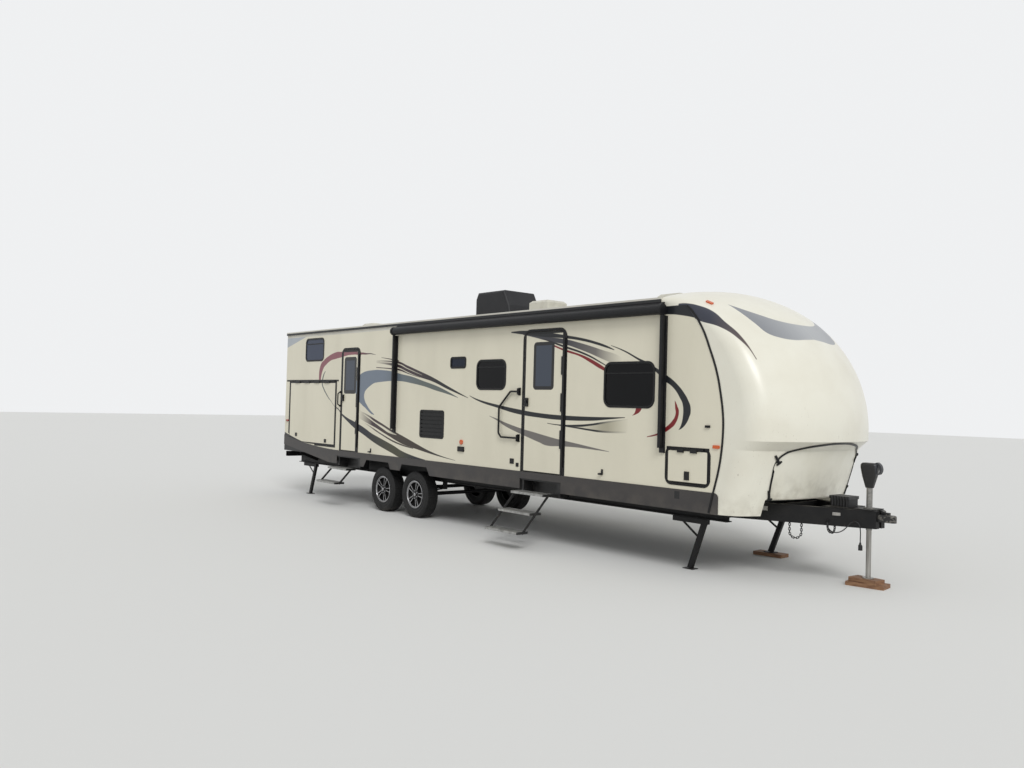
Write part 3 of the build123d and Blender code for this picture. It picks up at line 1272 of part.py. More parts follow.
# Cord way points ahead of the gland's mouth: along the body, out from it, up
CORD_STEPS = (
    (20, -30, -25), (20, -6, -52), (46, 6, -36), (57, 24, 2), (46, 30, 30), (30, 32, 48), (30, 24, 46),
    (54, 20, 12), (30, 10, -47), (8, 2, -65), (-2, 1, -70), (0, 0, -60),
)
CREST = 8  # index of the point where the run over the hook starts
cord_points = [gland_base + outward * 6, gland_base + outward * 46]
for step in CORD_STEPS:
    cord_points.append(cord_points[-1] + Vector(*step))


def corner_radii(points):
    """Radius at each inner point, from the shorter of its two runs."""
    radii = []
    for a, b, c in zip(points[:-2], points[1:-1], points[2:]):
        turn = math.radians((b - a).get_angle(c - b))
        radii.append(0.45 * min((b - a).length, (c - b).length) / math.tan(turn / 2))
    return radii


cord_radii = corner_radii(cord_points)
print("cord radii", [round(r) for r in cord_radii])
cord_path = FilletPolyline(*cord_points, radius=cord_radii)
tow_cord = sweep(Plane(cord_path @ 0, z_dir=cord_path % 0) * Circle(CORD_RADIUS), path=cord_path)

gland_plane = Plane(gland_base, x_dir=(0, 0, 1), z_dir=outward)
gland = extrude(gland_plane * (RegularPolygon(15, 6) - Circle(CORD_RADIUS + SEAT)), amount=14)
gland += extrude(gland_plane.offset(14) * (Circle(11) - Circle(CORD_RADIUS + SEAT)), amount=14)
crest_from, crest_to = cord_points[CREST], cord_points[CREST + 1]
crest = (crest_from + crest_to) / 2
hook_plane = Plane(origin=crest, x_dir=(0, 0, 1), z_dir=(crest_to - crest_from).normalized())
hook = extrude(hook_plane * (Circle(11) - Circle(CORD_RADIUS + SEAT)), amount=2.5, both=True)
crest_station = crest.X + ORIGIN_STATION
hook += block(
    (crest_station - 3, crest.Y + 8, crest.Z - 6),
    (crest_station + 3, beam_face(crest_station) + 6, crest.Z + 6),
)
tongue += gland + hook

# Plug on the cord's end: collar, body with its key rib and a sprung lid
plug_top = cord_points[-1].Z + 12
PLUG_PROFILE = ((6.3, 0), (11, 0), (11, -18), (21, -30), (21, -86), (0, -86), (0, -13), (6.3, -13))
plug_plane = Plane(
    origin=(cord_points[-1].X, cord_points[-1].Y, plug_top), x_dir=(1, 0, 0), z_dir=(0, -1, 0)
)
plug_face = plug_plane * make_face(Polyline(*PLUG_PROFILE, close=True))
tow_plug = revolve(plug_face, axis=Axis((cord_points[-1].X, cord_points[-1].Y, 0), (0, 0, 1)))
tow_plug += Pos(cord_points[-1].X + 21, cord_points[-1].Y, plug_top - 60) * Box(8, 10, 50)

# Safety chains stowed in a loop under each beam, hung from two staples
CHAIN_WIRE, CHAIN_INNER, CHAIN_HOLE = 7, 30, 14
CHAIN_PITCH = CHAIN_INNER - 3.2
CHAIN_LOOP = (11300, 66, 100)  # station of the loop's middle, its half width, length of each straight side
STAPLE_DROP = 12


def chain_link(start, end, roll):
    """One link between two joints of the chain, turned about its length by roll."""
    outer = RectangleRounded(
        CHAIN_INNER + 2 * CHAIN_WIRE, CHAIN_HOLE + 2 * CHAIN_WIRE, CHAIN_HOLE / 2 + CHAIN_WIRE - 0.01
    )
    inner = RectangleRounded(CHAIN_INNER, CHAIN_HOLE, CHAIN_HOLE / 2 - 0.01)
    ring = extrude(outer - inner, amount=CHAIN_WIRE / 2, both=True)
    along = (end - start).normalized()
    link_plane = Plane(origin=(start + end) / 2, x_dir=along, z_dir=(0, -1, 0))
    return link_plane * Rot(roll, 0, 0) * ring


def chain_loop():
    """Links of one loop in the plane y = 0, and the two staples that they hang from."""
    _, half, straight = CHAIN_LOOP
    total = 2 * straight + math.pi * half
    count = int(total / CHAIN_PITCH) | 1
    spacing = total / count
    joints = []
    for i in range(count + 1):
        run = i * spacing
        if run <= straight:
            joints.append(Vector(-half, 0, -run))
        elif run >= total - straight:
            joints.append(Vector(half, 0, run - total))
        else:
            turn = (run - straight) / half
            joints.append(Vector(-half * math.cos(turn), 0, -straight - half * math.sin(turn)))
    links = [chain_link(a, b, 90 * (i % 2)) for i, (a, b) in enumerate(zip(joints[:-1], joints[1:]))]
    staples = [chain_link(end + Vector(0, 0, spacing), end, 90) for end in (joints[0], joints[-1])]
    return links, staples


links, staples = chain_loop()
chain_station = CHAIN_LOOP[0]
chain_y = beam_face(chain_station) + TONGUE_WIDTH / 2
safety_chains = []
for side in (-1, 1):
    place = Pos(
        at(chain_station), -side * chain_y, TONGUE_LOW - STAPLE_DROP
    ) * Rot(0, 0, -side * math.degrees(beam_turn))
    safety_chains += [place * link for link in links]
    for staple in staples:
        tongue += place * staple

NODES = [
    ("chassis_frame", frame),
    ("underbelly", underbelly),
    ("tongue_frame", tongue),
    ("hitch_coupler", coupler),
    ("tongue_jack", tongue_jack),
    ("jack_leg", jack_leg),
    ("wood_blocks", blocks),
    ("battery_box", battery_box),
    ("stabilisers", stabilisers),
    ("running_gear", running_gear),
    ("floor", floor),
    ("wall_right", wall_right),
    ("wall_left", wall_left),
    ("wall_rear", wall_rear),
    ("roof", roof),
    ("front_cap", front_cap),
    ("propane_cover", propane_cover),
    ("skirts", [skirt, skirt_left]),
    ("frames", frames + handle_mounts + [rear_handle]),
    ("window_glass", window_glass),
    ("kitchen_hatch", kitchen_hatch),
    ("storage_door_right", storage_door),
    ("storage_door_left", mirrored(storage_door)),
    ("grab_handle", grab_handle),
    ("awning", [awning_roller] + awning_arms),
    ("air_conditioner", air_conditioner),
    ("roof_vents", roof_vents),
    ("entry_steps", entry_step_sets),
    ("slide_living", slide_living),
    ("slide_living_glass", living_panes),
    ("slide_bedroom", slide_bedroom),
    ("slide_bedroom_glass", bedroom_panes),
    ("lamps", lamps),
    ("bay_liners", [kitchen_bay, *storage_bay]),
    ("safety_chains", safety_chains),
    ("tow_cord", tow_cord),
    ("tow_plug", tow_plug),
]
NODES += list(door_pieces.items())
NODES += wheel_nodes

os.makedirs("parts", exist_ok=True)
for node, shape in NODES:
    save(node, shape)
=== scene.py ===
import math

import bmesh
import bpy
from mathutils import Matrix, Vector


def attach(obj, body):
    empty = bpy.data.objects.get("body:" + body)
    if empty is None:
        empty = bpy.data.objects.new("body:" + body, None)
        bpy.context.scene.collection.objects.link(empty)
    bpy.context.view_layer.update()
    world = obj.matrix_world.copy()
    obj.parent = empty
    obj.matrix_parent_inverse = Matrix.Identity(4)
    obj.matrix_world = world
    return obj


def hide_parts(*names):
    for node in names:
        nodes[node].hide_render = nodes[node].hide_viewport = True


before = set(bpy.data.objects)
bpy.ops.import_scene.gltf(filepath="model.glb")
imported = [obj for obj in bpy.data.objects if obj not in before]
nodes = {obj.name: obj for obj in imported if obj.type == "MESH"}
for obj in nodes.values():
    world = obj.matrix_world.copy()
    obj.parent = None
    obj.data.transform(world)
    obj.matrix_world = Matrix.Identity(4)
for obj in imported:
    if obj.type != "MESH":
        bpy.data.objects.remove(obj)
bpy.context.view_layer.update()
bpy.ops.object.select_all(action="DESELECT")

# Camera: a phone held at eye height, ahead of the caravan's front corner on the door side.
# It looks back along the door side, with the hitch at the right of the frame.
EYE = Vector((10.782, -9.534, 1.935))
YAW, PITCH, ROLL = 0.862, 0.023, 0.027
FOCAL_PX, FRAME_PX, SENSOR_MM = 880, 1024, 36
look = Vector((-math.sin(YAW) * math.cos(PITCH), math.cos(YAW) * math.cos(PITCH), math.sin(PITCH)))
level = look.cross(Vector((0, 0, 1))).normalized()
above = level.cross(look)
frame_right = math.cos(ROLL) * level + math.sin(ROLL) * above
frame_up = -math.sin(ROLL) * level + math.cos(ROLL) * above
camera_data = bpy.data.cameras.new("camera")
camera_data.sensor_width = SENSOR_MM
camera_data.lens = FOCAL_PX / FRAME_PX * SENSOR_MM
camera_data.clip_end = 200
camera = bpy.data.objects.new("camera", camera_data)
turn = Matrix((frame_right, frame_up, -look)).transposed()
camera.matrix_world = Matrix.Translation(EYE) @ turn.to_4x4()
bpy.context.scene.collection.objects.link(camera)
bpy.context.scene.camera = camera
bpy.context.scene.view_settings.view_transform = "Standard"


# Trailer cord: seven cores in one round black jacket, from a gland in the near beam of the A-frame.
# It drops, runs forward over a hook on the beam and hangs down to its moulded plug.
class Sock:
    """One output of a material's nodes. Sums on it add Math nodes."""

    def __init__(self, tree, socket=None):
        self.tree, self.socket = tree, socket

    def node(self, kind, settings=None, sockets=None, out=0):
        """A new node: its settings first, then the values or links of its sockets."""
        node = self.tree.nodes.new(kind)
        for key, value in (settings or {}).items():
            if key == "points":
                line = node.mapping.curves[0].points
                line[0].location, line[-1].location = value[0], value[-1]
                for point in value[1:-1]:
                    line.new(*point)
                node.mapping.update()
            else:
                setattr(node, key, value)
        for key, value in (sockets or {}).items():
            if isinstance(value, Sock):
                self.tree.links.new(value.socket, node.inputs[key])
            else:
                node.inputs[key].default_value = value
        return Sock(self.tree, node.outputs[out])

    def maths(self, operation, *values, clamp=False):
        settings = {"operation": operation, "use_clamp": clamp}
        return self.node("ShaderNodeMath", settings, dict(enumerate(values)))

    def __add__(self, other):
        return self.maths("ADD", self, other)

    def __radd__(self, other):
        return self.maths("ADD", other, self)

    def __sub__(self, other):
        return self.maths("SUBTRACT", self, other)

    def __rsub__(self, other):
        return self.maths("SUBTRACT", other, self)

    def __mul__(self, other):
        return self.maths("MULTIPLY", self, other)

    def __rmul__(self, other):
        return self.maths("MULTIPLY", other, self)

    def __abs__(self):
        return self.maths("ABSOLUTE", self)

    def edge(self, soft):
        """0 below zero and 1 above it, over a soft width."""
        return self.maths("MULTIPLY_ADD", self, 1 / soft, 0.5, clamp=True)

    def ramp(self, low, high):
        """0 at low and 1 at high, straight between them."""
        return self.maths("MULTIPLY_ADD", self, 1 / (high - low), -low / (high - low), clamp=True)

    def curve(self, points):
        """Smooth curve through (input, output) points."""
        lows = [min(p[i] for p in points) for i in (0, 1)]
        spans = [max(max(p[i] for p in points) - lows[i], 1e-6) for i in (0, 1)]
        unit = [tuple((p[i] - lows[i]) / spans[i] for i in (0, 1)) for p in points]
        along = self.maths("MULTIPLY_ADD", self, 1 / spans[0], -lows[0] / spans[0], clamp=True)
        return self.node("ShaderNodeFloatCurve", {"points": unit}, {"Value": along}) * spans[1] + lows[1]

    def between(self, low, high, soft):
        """1 from low to high, which may be sockets, with soft ends."""
        return (self - low).edge(soft) * (high - self).edge(soft)

    def axes(self, names="xyz"):
        """The coordinates of a vector by name: one, or a list of several."""
        parts = [self.node("ShaderNodeSeparateXYZ", None, {0: self}, out="xyz".index(name)) for name in names]
        return parts if len(parts) > 1 else parts[0]

    def noise(self, scale, detail=3.0, stretch=(1, 1, 1)):
        """Cloudy noise from 0 to 1 over coordinates, stretched along the axes."""
        laid = self.node("ShaderNodeMapping", None, {"Vector": self, "Scale": stretch})
        return self.node("ShaderNodeTexNoise", None, {"Vector": laid, "Scale": scale, "Detail": detail})

    def wave(self, axis, scale):
        """Ridges from 0 to 1 over coordinates, one after another along an axis."""
        sockets = {"Vector": self, "Scale": scale}
        return self.node("ShaderNodeTexWave", {"bands_direction": axis}, sockets, out=1)


def linear(colour):
    """A display colour as scene values."""
    return [v / 12.92 if v <= 0.04045 else ((v + 0.055) / 1.055) ** 2.4 for v in colour]


SOCKETS = {
    "base": "Base Color", "rough": "Roughness", "metal": "Metallic", "alpha": "Alpha", "coat": "Coat Weight",
    "coat_rough": "Coat Roughness", "specular": "Specular IOR Level",
}


def finish(name, colour, roughness, **values):
    """A plain material, its Object coordinates for what varies over the surface, and its shader."""
    material = bpy.data.materials.new(name)
    material.use_nodes = True
    shader = material.node_tree.nodes["Principled BSDF"]
    shader.inputs["Base Color"].default_value = (*linear(colour), 1)
    shader.inputs["Roughness"].default_value = roughness
    for key, value in values.items():
        shader.inputs[SOCKETS[key]].default_value = value
    material.diffuse_color = (*colour, 1)
    return material, Sock(material.node_tree).node("ShaderNodeTexCoord", out=3), shader


def mix(base, colour, mask, *more):
    """Colour laid over a base by a mask, then more colours by theirs; any colour may be a socket."""
    colours = [c if isinstance(c, Sock) else (*linear(c), 1) for c in (base, colour)]
    sockets = {"Factor": mask, 6: colours[0], 7: colours[1]}
    laid = mask.node("ShaderNodeMix", {"data_type": "RGBA"}, sockets, out=2)
    return mix(laid, *more) if more else laid


def feed(shader, **inputs):
    """Links sockets to the shader: base, rough, metal, alpha or bump=(height, metres)."""
    links = shader.id_data.links
    for key, value in inputs.items():
        if key == "bump":
            height, depth = value
            bump = height.node("ShaderNodeBump", None, {"Height": height, "Distance": depth})
            links.new(bump.socket, shader.inputs["Normal"])
        else:
            links.new(value.socket, shader.inputs[SOCKETS[key]])


def mottled(name, plain, gloss, dark, pale, cloud, spread, rough, bump, grain=None, scuffs=None, **values):
    """A finish that one cloudy noise turns from dark to pale over its spread.

    Its roughness is the scuffs times rough[0], plus rough[1], and its bump is the grain. Both are
    noises too, or else the clouds.
    """
    material, spot, shader = finish(name, plain, gloss, **values)
    clouds = spot.noise(*cloud)
    height = spot.noise(*grain) if grain else clouds
    sheen = spot.noise(*scuffs) if scuffs else clouds
    colour = mix(dark, pale, clouds.ramp(*spread))
    feed(shader, base=colour, rough=sheen * rough[0] + rough[1], bump=(height, bump))
    return material


def wear(material, *names):
    """Gives CAD nodes a material."""
    for name in names:
        nodes[name].data.materials.clear()
        nodes[name].data.materials.append(material)


def fit(piece, material):
    """Gives a piece its finish and its slot, and fixes it to the body."""
    piece.data.materials.clear()
    piece.data.materials.append(material)
    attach(piece, "caravan")


cord_black, spot, shader = finish("cord_black", (0.09, 0.09, 0.095), 0.5)
feed(shader, rough=spot.noise(60) * 0.25 + 0.4)
CORD_DIAMETER = 0.012
CORD_ROUTE = (
    (5.5523, -0.2982, 0.7150), (5.5674, -0.3352, 0.7150), (5.5874, -0.3652, 0.6900), (5.6074, -0.3712, 0.6380),
    (5.6534, -0.3652, 0.6020), (5.7104, -0.3412, 0.6040), (5.7564, -0.3112, 0.6340), (5.7864, -0.2792, 0.6820),
    (5.8164, -0.2552, 0.7280), (5.8704, -0.2352, 0.7400), (5.9004, -0.2252, 0.6930), (5.9084, -0.2232, 0.6280),
    (5.9064, -0.2222, 0.5580), (5.9064, -0.2222, 0.4980),
)
cord_line = bpy.data.curves.new("trailer_cord", "CURVE")
cord_line.dimensions = "3D"
cord_line.resolution_u = 12
cord_line.bevel_depth = CORD_DIAMETER / 2
cord_line.bevel_resolution = 4
cord_line.use_fill_caps = True
run = cord_line.splines.new("NURBS")
run.points.add(len(CORD_ROUTE) - 1)
for point, where in zip(run.points, CORD_ROUTE):
    point.co = (*where, 1)
run.order_u = 3
run.use_endpoint_u = True
trailer_cord = bpy.data.objects.new("trailer_cord", cord_line)
bpy.context.scene.collection.objects.link(trailer_cord)
fit(trailer_cord, cord_black)
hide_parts("tow_cord")
wear(cord_black, "tow_plug")

# Side skin: cream gel-coated sheet, bonded to the walls, the slide-out rooms and all the leaves.
# Sweeps cut from vinyl film run over it in slate, grey, brown and red, and the rear foot is charcoal.
# Below a set height the foot of the walls is painted near black.
CREAM = (0.86, 0.84, 0.765)
DUSTY_CREAM = (0.82, 0.80, 0.725)
SAND = (0.66, 0.64, 0.56)
SLATE = (0.10, 0.11, 0.125)
NAVY_GREY = (0.10, 0.115, 0.155)
CHARCOAL = (0.215, 0.21, 0.215)
BLUE_GREY = (0.44, 0.48, 0.53)
GREEN_GREY = (0.36, 0.39, 0.38)
WARM_GREY = (0.44, 0.425, 0.41)
PALE_GREY = (0.66, 0.68, 0.70)
BROWN = (0.23, 0.195, 0.165)
OLIVE = (0.26, 0.255, 0.19)
PLUM = (0.24, 0.19, 0.205)
RED = (0.47, 0.10, 0.12)
FADED_RED = (0.53, 0.33, 0.36)
DEEP_GREY = (0.24, 0.24, 0.26)
BLACK_FOOT = (0.075, 0.075, 0.08)
EDGE = 0.006
side_paint, spot, skin = finish("side_paint", CREAM, 0.34, coat=0.08, specular=0.35)
px, py, pz = spot.axes()
reach = abs(py)


def either(*masks):
    """Where any of the masks is."""
    whole = masks[0]
    for mask in masks[1:]:
        whole = whole.maths("MAXIMUM", whole, mask)
    return whole


def sweep(upper, lower, x=px, z=pz):
    """Mask of a band along the body between two edges, each a list of (x, z) points."""
    start = min(upper[0][0], lower[0][0])
    end = max(upper[-1][0], lower[-1][0])
    return z.between(x.curve(lower), x.curve(upper), EDGE) * x.between(start, end, EDGE)


def band(*rows):
    """A sweep from rows of (x, low z, high z)."""
    return sweep([(x, high) for x, low, high in rows], [(x, low) for x, low, high in rows])


def hook(centre, cut, outer, inner):
    """Mask of a crescent about a centre between two edges of (degrees, radius) points.

    Degrees run from -cut to 360 - cut.
    """
    dx, dz = px - centre[0], pz - centre[1]
    turned = dz.maths("ARCTAN2", dz, dx) * (180 / math.pi)
    full = turned + (turned * -1 - cut).edge(0.01) * 360
    radius = dx.maths("SQRT", dx * dx + dz * dz)
    start = min(outer[0][0], inner[0][0])
    end = max(outer[-1][0], inner[-1][0])
    return radius.between(full.curve(inner), full.curve(outer), EDGE) * full.between(start, end, EDGE)


# Crescents and hooks, as degrees and metres from their centres
REAR_CRESCENT = (-3.60, 2.15)
rear_red = hook(
    REAR_CRESCENT, 60,
    [(32, 1.13), (37, 1.036), (50, 0.845), (66, 0.735), (90, 0.683), (106, 0.714), (122, 0.808), (138, 0.94),
     (150, 1.07), (160, 1.15), (168, 1.13), (174, 1.085)],
    [(32, 1.125), (37, 1.015), (50, 0.80), (66, 0.675), (90, 0.612), (108, 0.62), (125, 0.69), (142, 0.85),
     (150, 0.93), (160, 1.02), (168, 1.04), (174, 1.04)],
)
rear_line = hook(
    REAR_CRESCENT, 60,
    [(159, 0.915), (168, 0.985), (174, 0.985), (181, 0.91), (188, 0.815), (196, 0.722), (203, 0.648), (212, 0.60),
     (223, 0.548)],
    [(159, 0.905), (168, 0.945), (174, 0.945), (181, 0.87), (188, 0.78), (196, 0.698), (203, 0.634), (212, 0.59),
     (223, 0.536)],
)
GREY_BOW = (-2.60, 2.08)
grey_hook = hook(
    GREY_BOW, 60,
    [(82, 0.403), (95, 0.40), (110, 0.42), (125, 0.474), (142, 0.58), (150, 0.641), (166, 0.72), (174, 0.724),
     (184, 0.682), (198, 0.586), (207, 0.514), (230, 0.4225), (251, 0.408), (264, 0.402)],
    [(82, 0.175), (95, 0.174), (115, 0.180), (144, 0.217), (158, 0.262), (170, 0.325), (182, 0.39), (192, 0.409),
     (203, 0.40), (223, 0.371), (250, 0.372), (264, 0.399)],
)
FRONT_DARK = (3.75, 1.90)
front_dark = hook(
    FRONT_DARK, 170,
    [(-29, 0.449), (-18, 0.512), (-6, 0.551), (2, 0.567), (15, 0.543), (30, 0.506), (48, 0.480), (66, 0.474)],
    [(-29, 0.447), (-20, 0.456), (-7, 0.456), (8, 0.456), (24, 0.432), (44, 0.413), (66, 0.395)],
)
FRONT_RED = (3.75, 1.95)
front_red = hook(
    FRONT_RED, 170,
    [(-104, 0.388), (-92, 0.363), (-80, 0.353), (-58, 0.359), (-43, 0.374), (-29, 0.395), (-14, 0.40), (2, 0.369),
     (14, 0.339)],
    [(-104, 0.376), (-92, 0.346), (-80, 0.330), (-52, 0.312), (-44, 0.318), (-28, 0.337), (-14, 0.351), (2, 0.333),
     (14, 0.336)],
)

# Sweeps along the body: rows of (x, low z, high z), or the upper edge and then the lower
bow_arm = band(
    (-2.62, 2.254, 2.479), (-2.35, 2.271, 2.469), (-2.12, 2.281, 2.45), (-1.82, 2.276, 2.398),
    (-1.51, 2.243, 2.355), (-1.16, 2.195, 2.279), (-0.8, 2.124, 2.202), (-0.56, 2.083, 2.136),
    (-0.20, 2.012, 2.017),
)
streak_dark = band(
    (-2.62, 2.60, 2.648), (-2.35, 2.574, 2.642), (-2.12, 2.545, 2.628), (-1.93, 2.517, 2.617),
    (-1.63, 2.433, 2.54), (-1.28, 2.345, 2.445), (-0.92, 2.274, 2.345), (-0.44, 2.136, 2.183),
    (0.057, 2.01, 2.017),
)
streak_gap = band((-2.5, 2.615, 2.625), (-1.93, 2.565, 2.581), (-1.63, 2.483, 2.495), (-1.2, 2.375, 2.378))
streak_upper = band((-2.46, 2.69, 2.697), (-2.12, 2.645, 2.662), (-1.9, 2.612, 2.632))
streak_lower = band(
    (-2.62, 2.515, 2.528), (-2.12, 2.482, 2.503), (-1.93, 2.465, 2.493), (-1.6, 2.397, 2.413),
    (-1.25, 2.331, 2.335),
)
low_dark = sweep(
    [(-4.02, 1.79), (-3.96, 1.782), (-3.786, 1.686), (-3.571, 1.605), (-3.3, 1.537), (-2.943, 1.433),
     (-2.705, 1.35), (-2.467, 1.29), (-2.229, 1.231), (-1.99, 1.171), (-1.752, 1.10), (-1.514, 1.052),
     (-1.04, 0.99)],
    [(-4.02, 1.775), (-3.96, 1.762), (-3.786, 1.65), (-3.571, 1.543), (-3.3, 1.423), (-2.943, 1.302),
     (-2.705, 1.219), (-2.467, 1.148), (-2.229, 1.088), (-1.99, 1.029), (-1.824, 0.985), (-1.5, 0.93),
     (-1.04, 0.90)],
)
low_brown = band(
    (-3.12, 1.60, 1.745), (-2.824, 1.517, 1.671), (-2.586, 1.457, 1.60), (-2.348, 1.386, 1.529),
    (-2.12, 1.322, 1.457), (-1.92, 1.262, 1.402), (-1.63, 1.195, 1.326), (-1.28, 1.148, 1.231),
    (-0.92, 1.10, 1.14), (-0.56, 1.06, 1.076), (-0.229, 1.031, 1.037),
)
brown_gap = band(
    (-3.0, 1.68, 1.69), (-2.824, 1.614, 1.638), (-2.586, 1.53, 1.552), (-2.348, 1.447, 1.488),
    (-2.12, 1.378, 1.418), (-1.9, 1.357, 1.36),
)
low_line = band(
    (-2.95, 1.52, 1.53), (-2.824, 1.477, 1.497), (-2.348, 1.326, 1.35), (-1.87, 1.205, 1.232),
    (-1.395, 1.15, 1.164),
)
middle_dark = band(
    (0.09, 2.046, 2.053), (0.385, 1.95, 1.981), (0.769, 1.877, 1.923), (1.31, 1.788, 1.858),
    (1.714, 1.757, 1.821), (2.07, 1.74, 1.805), (2.667, 1.745, 1.798), (3.02, 1.774, 1.803),
    (3.29, 1.802, 1.81),
)
twin_upper = band(
    (1.86, 1.682, 1.69), (2.143, 1.66, 1.677), (2.43, 1.656, 1.686), (2.667, 1.678, 1.705),
    (2.905, 1.713, 1.738), (3.143, 1.752, 1.768), (3.34, 1.78, 1.79),
)
twin_lower = band(
    (2.1, 1.66, 1.668), (2.43, 1.634, 1.655), (2.667, 1.614, 1.638), (2.905, 1.60, 1.626),
    (3.143, 1.602, 1.624), (3.32, 1.61, 1.628),
)
twin_fill = band((2.4, 1.65, 1.66), (2.905, 1.625, 1.715), (3.143, 1.62, 1.755), (3.34, 1.62, 1.785))
low_grey = sweep(
    [(0.585, 1.754), (0.77, 1.715), (0.96, 1.665), (1.333, 1.59), (1.595, 1.55), (1.833, 1.512), (2.119, 1.471),
     (2.43, 1.436), (2.667, 1.407), (3.03, 1.364)],
    [(0.585, 1.748), (0.77, 1.688), (0.96, 1.612), (1.238, 1.531), (1.476, 1.471), (1.714, 1.412), (1.881, 1.376),
     (2.119, 1.381), (2.43, 1.383), (2.667, 1.374), (3.03, 1.358)],
)
top_dark = band(
    (1.04, 2.974, 2.99), (1.333, 2.935, 2.993), (1.7, 2.89, 2.96), (2.214, 2.845, 2.888), (2.524, 2.798, 2.836),
    (2.762, 2.745, 2.781), (2.905, 2.708, 2.74), (3.08, 2.662, 2.672),
)
top_shade = sweep(
    [(1.3, 2.96), (1.7, 2.90), (2.214, 2.832), (2.43, 2.785), (2.667, 2.727), (2.905, 2.662), (3.095, 2.614),
     (3.25, 2.54)],
    [(1.3, 2.935), (1.571, 2.883), (1.786, 2.835), (2.214, 2.757), (2.43, 2.698), (2.667, 2.626), (2.857, 2.56),
     (3.02, 2.505), (3.25, 2.42)],
)
top_line = band(
    (1.75, 2.85, 2.86), (1.952, 2.785, 2.81), (2.214, 2.708, 2.738), (2.43, 2.652, 2.68), (2.667, 2.575, 2.60),
    (2.81, 2.516, 2.536), (2.976, 2.448, 2.458),
)
top_red = sweep(
    [(1.9, 2.79), (2.143, 2.71), (2.333, 2.662), (2.548, 2.602), (2.762, 2.519), (2.976, 2.412)],
    [(1.9, 2.765), (2.0, 2.73), (2.238, 2.655), (2.43, 2.607), (2.667, 2.507), (2.81, 2.44), (2.976, 2.376)],
)
front_line = band(
    (3.02, 2.722, 2.729), (3.262, 2.634, 2.653), (3.5, 2.522, 2.55), (3.62, 2.468, 2.505),
    (3.762, 2.386, 2.436), (3.97, 2.236, 2.322),
)
red_tick = sweep(
    [(1.833, 3.414), (1.85, 3.47), (1.876, 3.524), (1.93, 3.565)],
    [(1.833, 3.408), (1.85, 3.43), (1.876, 3.452), (1.93, 3.468)],
    pz, px,
)
brow = sweep([(3.8, 3.2), (4.19, 3.2), (4.4, 3.2)], [(3.8, 3.075), (3.975, 3.069), (4.19, 3.04), (4.4, 2.99)])
rear_top = sweep([(-6.2, 3.25), (-5.2, 3.25)], [(-6.2, 2.95), (-5.7, 3.07), (-5.2, 3.19)])
rear_top = rear_top * (reach - 1.19).edge(0.01)

clouds = spot.noise(1.6, 4, (1, 1, 0.35))
plain = mix(CREAM, DUSTY_CREAM, clouds.ramp(0.42, 0.75) * 0.7)
brown_mask = low_brown * (1 - brown_gap) * px.ramp(-3.16, -2.7)
FOOT_SPLIT = [(-6.13, 1.245), (-5.67, 1.148), (-5.15, 1.053), (-4.65, 0.991), (-4.18, 0.951), (-3.9, 0.93)]
FOOT_END = -3.9
colour = mix(
    plain,
    PALE_GREY, rear_top,
    mix(BLUE_GREY, GREEN_GREY, px.ramp(-2.4, -1.2)), either(grey_hook, bow_arm),
    mix(NAVY_GREY, OLIVE, px.ramp(-2.9, -2.1), NAVY_GREY, px.ramp(-1.8, -1.35)), low_dark,
    mix(PLUM, mix(BROWN, SLATE, px.ramp(-1.3, -0.5)), px.ramp(-2.7, -1.9)),
    either(brown_mask, low_line * px.ramp(-3.0, -2.6)),
    mix(PLUM, SLATE, px.ramp(-1.5, -0.7)),
    either(streak_dark * (1 - streak_gap) * px.ramp(-2.7, -2.1), streak_upper, streak_lower),
    mix(FADED_RED, PLUM, px.ramp(-3.4, -2.8)), rear_red,
    GREEN_GREY, rear_line,
    SLATE, either(middle_dark, front_line),
    WARM_GREY, low_grey,
    mix(DEEP_GREY, WARM_GREY, px.ramp(2.2, 2.75)), top_shade * px.ramp(3.22, 2.75),
    SAND, twin_fill * px.ramp(2.4, 2.9) * px.ramp(3.36, 3.0),
    SLATE, either(twin_upper, twin_lower) * px.ramp(3.36, 2.8),
    SLATE, either(top_dark, top_line, front_dark, brow),
    RED, either(top_red, front_red, red_tick),
    CHARCOAL, (px.curve(FOOT_SPLIT) - pz).edge(EDGE) * (FOOT_END - px).edge(EDGE),
)
# The film lies on outer faces alone: walls and leaves, slide-out rooms, and the rear wall
WALL_BAND = (1.195, 1.262)
SLIDE_FACE = 1.862
REAR_FACE = -6.185
faces = either(reach.between(*WALL_BAND, 0.008), (reach - SLIDE_FACE).edge(0.008), (REAR_FACE - px).edge(0.01))
colour = mix(plain, colour, faces)
# The foot of the walls below this height is painted near black.
BLACK_FOOT_TOP, BLACK_FOOT_OUT = 0.984, 1.3
colour = mix(colour, BLACK_FOOT, (BLACK_FOOT_TOP - pz).edge(0.004) * (BLACK_FOOT_OUT - reach).edge(0.01))
fine = spot.noise(14, 2)
feed(skin, base=colour, rough=clouds * 0.12 + 0.28, bump=(fine, 0.0005))
wear(side_paint, "wall_right", "wall_left", "slide_living", "slide_bedroom", "wall_rear")

# Door and hatch leaves: the wall's own skin on foam, in a rolled black edge that holds the lock.
# Latches and hinges are black too, and screwed on.
leaf_paint = side_paint.copy()
leaf_paint.name = "leaf_paint"
leaf_shader = leaf_paint.node_tree.nodes["Principled BSDF"]
spot = Sock(leaf_paint.node_tree).node("ShaderNodeTexCoord", out=3)
leaf_base, leaf_rough = (
    Sock(spot.tree, leaf_shader.inputs[SOCKETS[key]].links[0].from_socket) for key in ("base", "rough")
)
px, py, pz = spot.axes()
reach = abs(py)
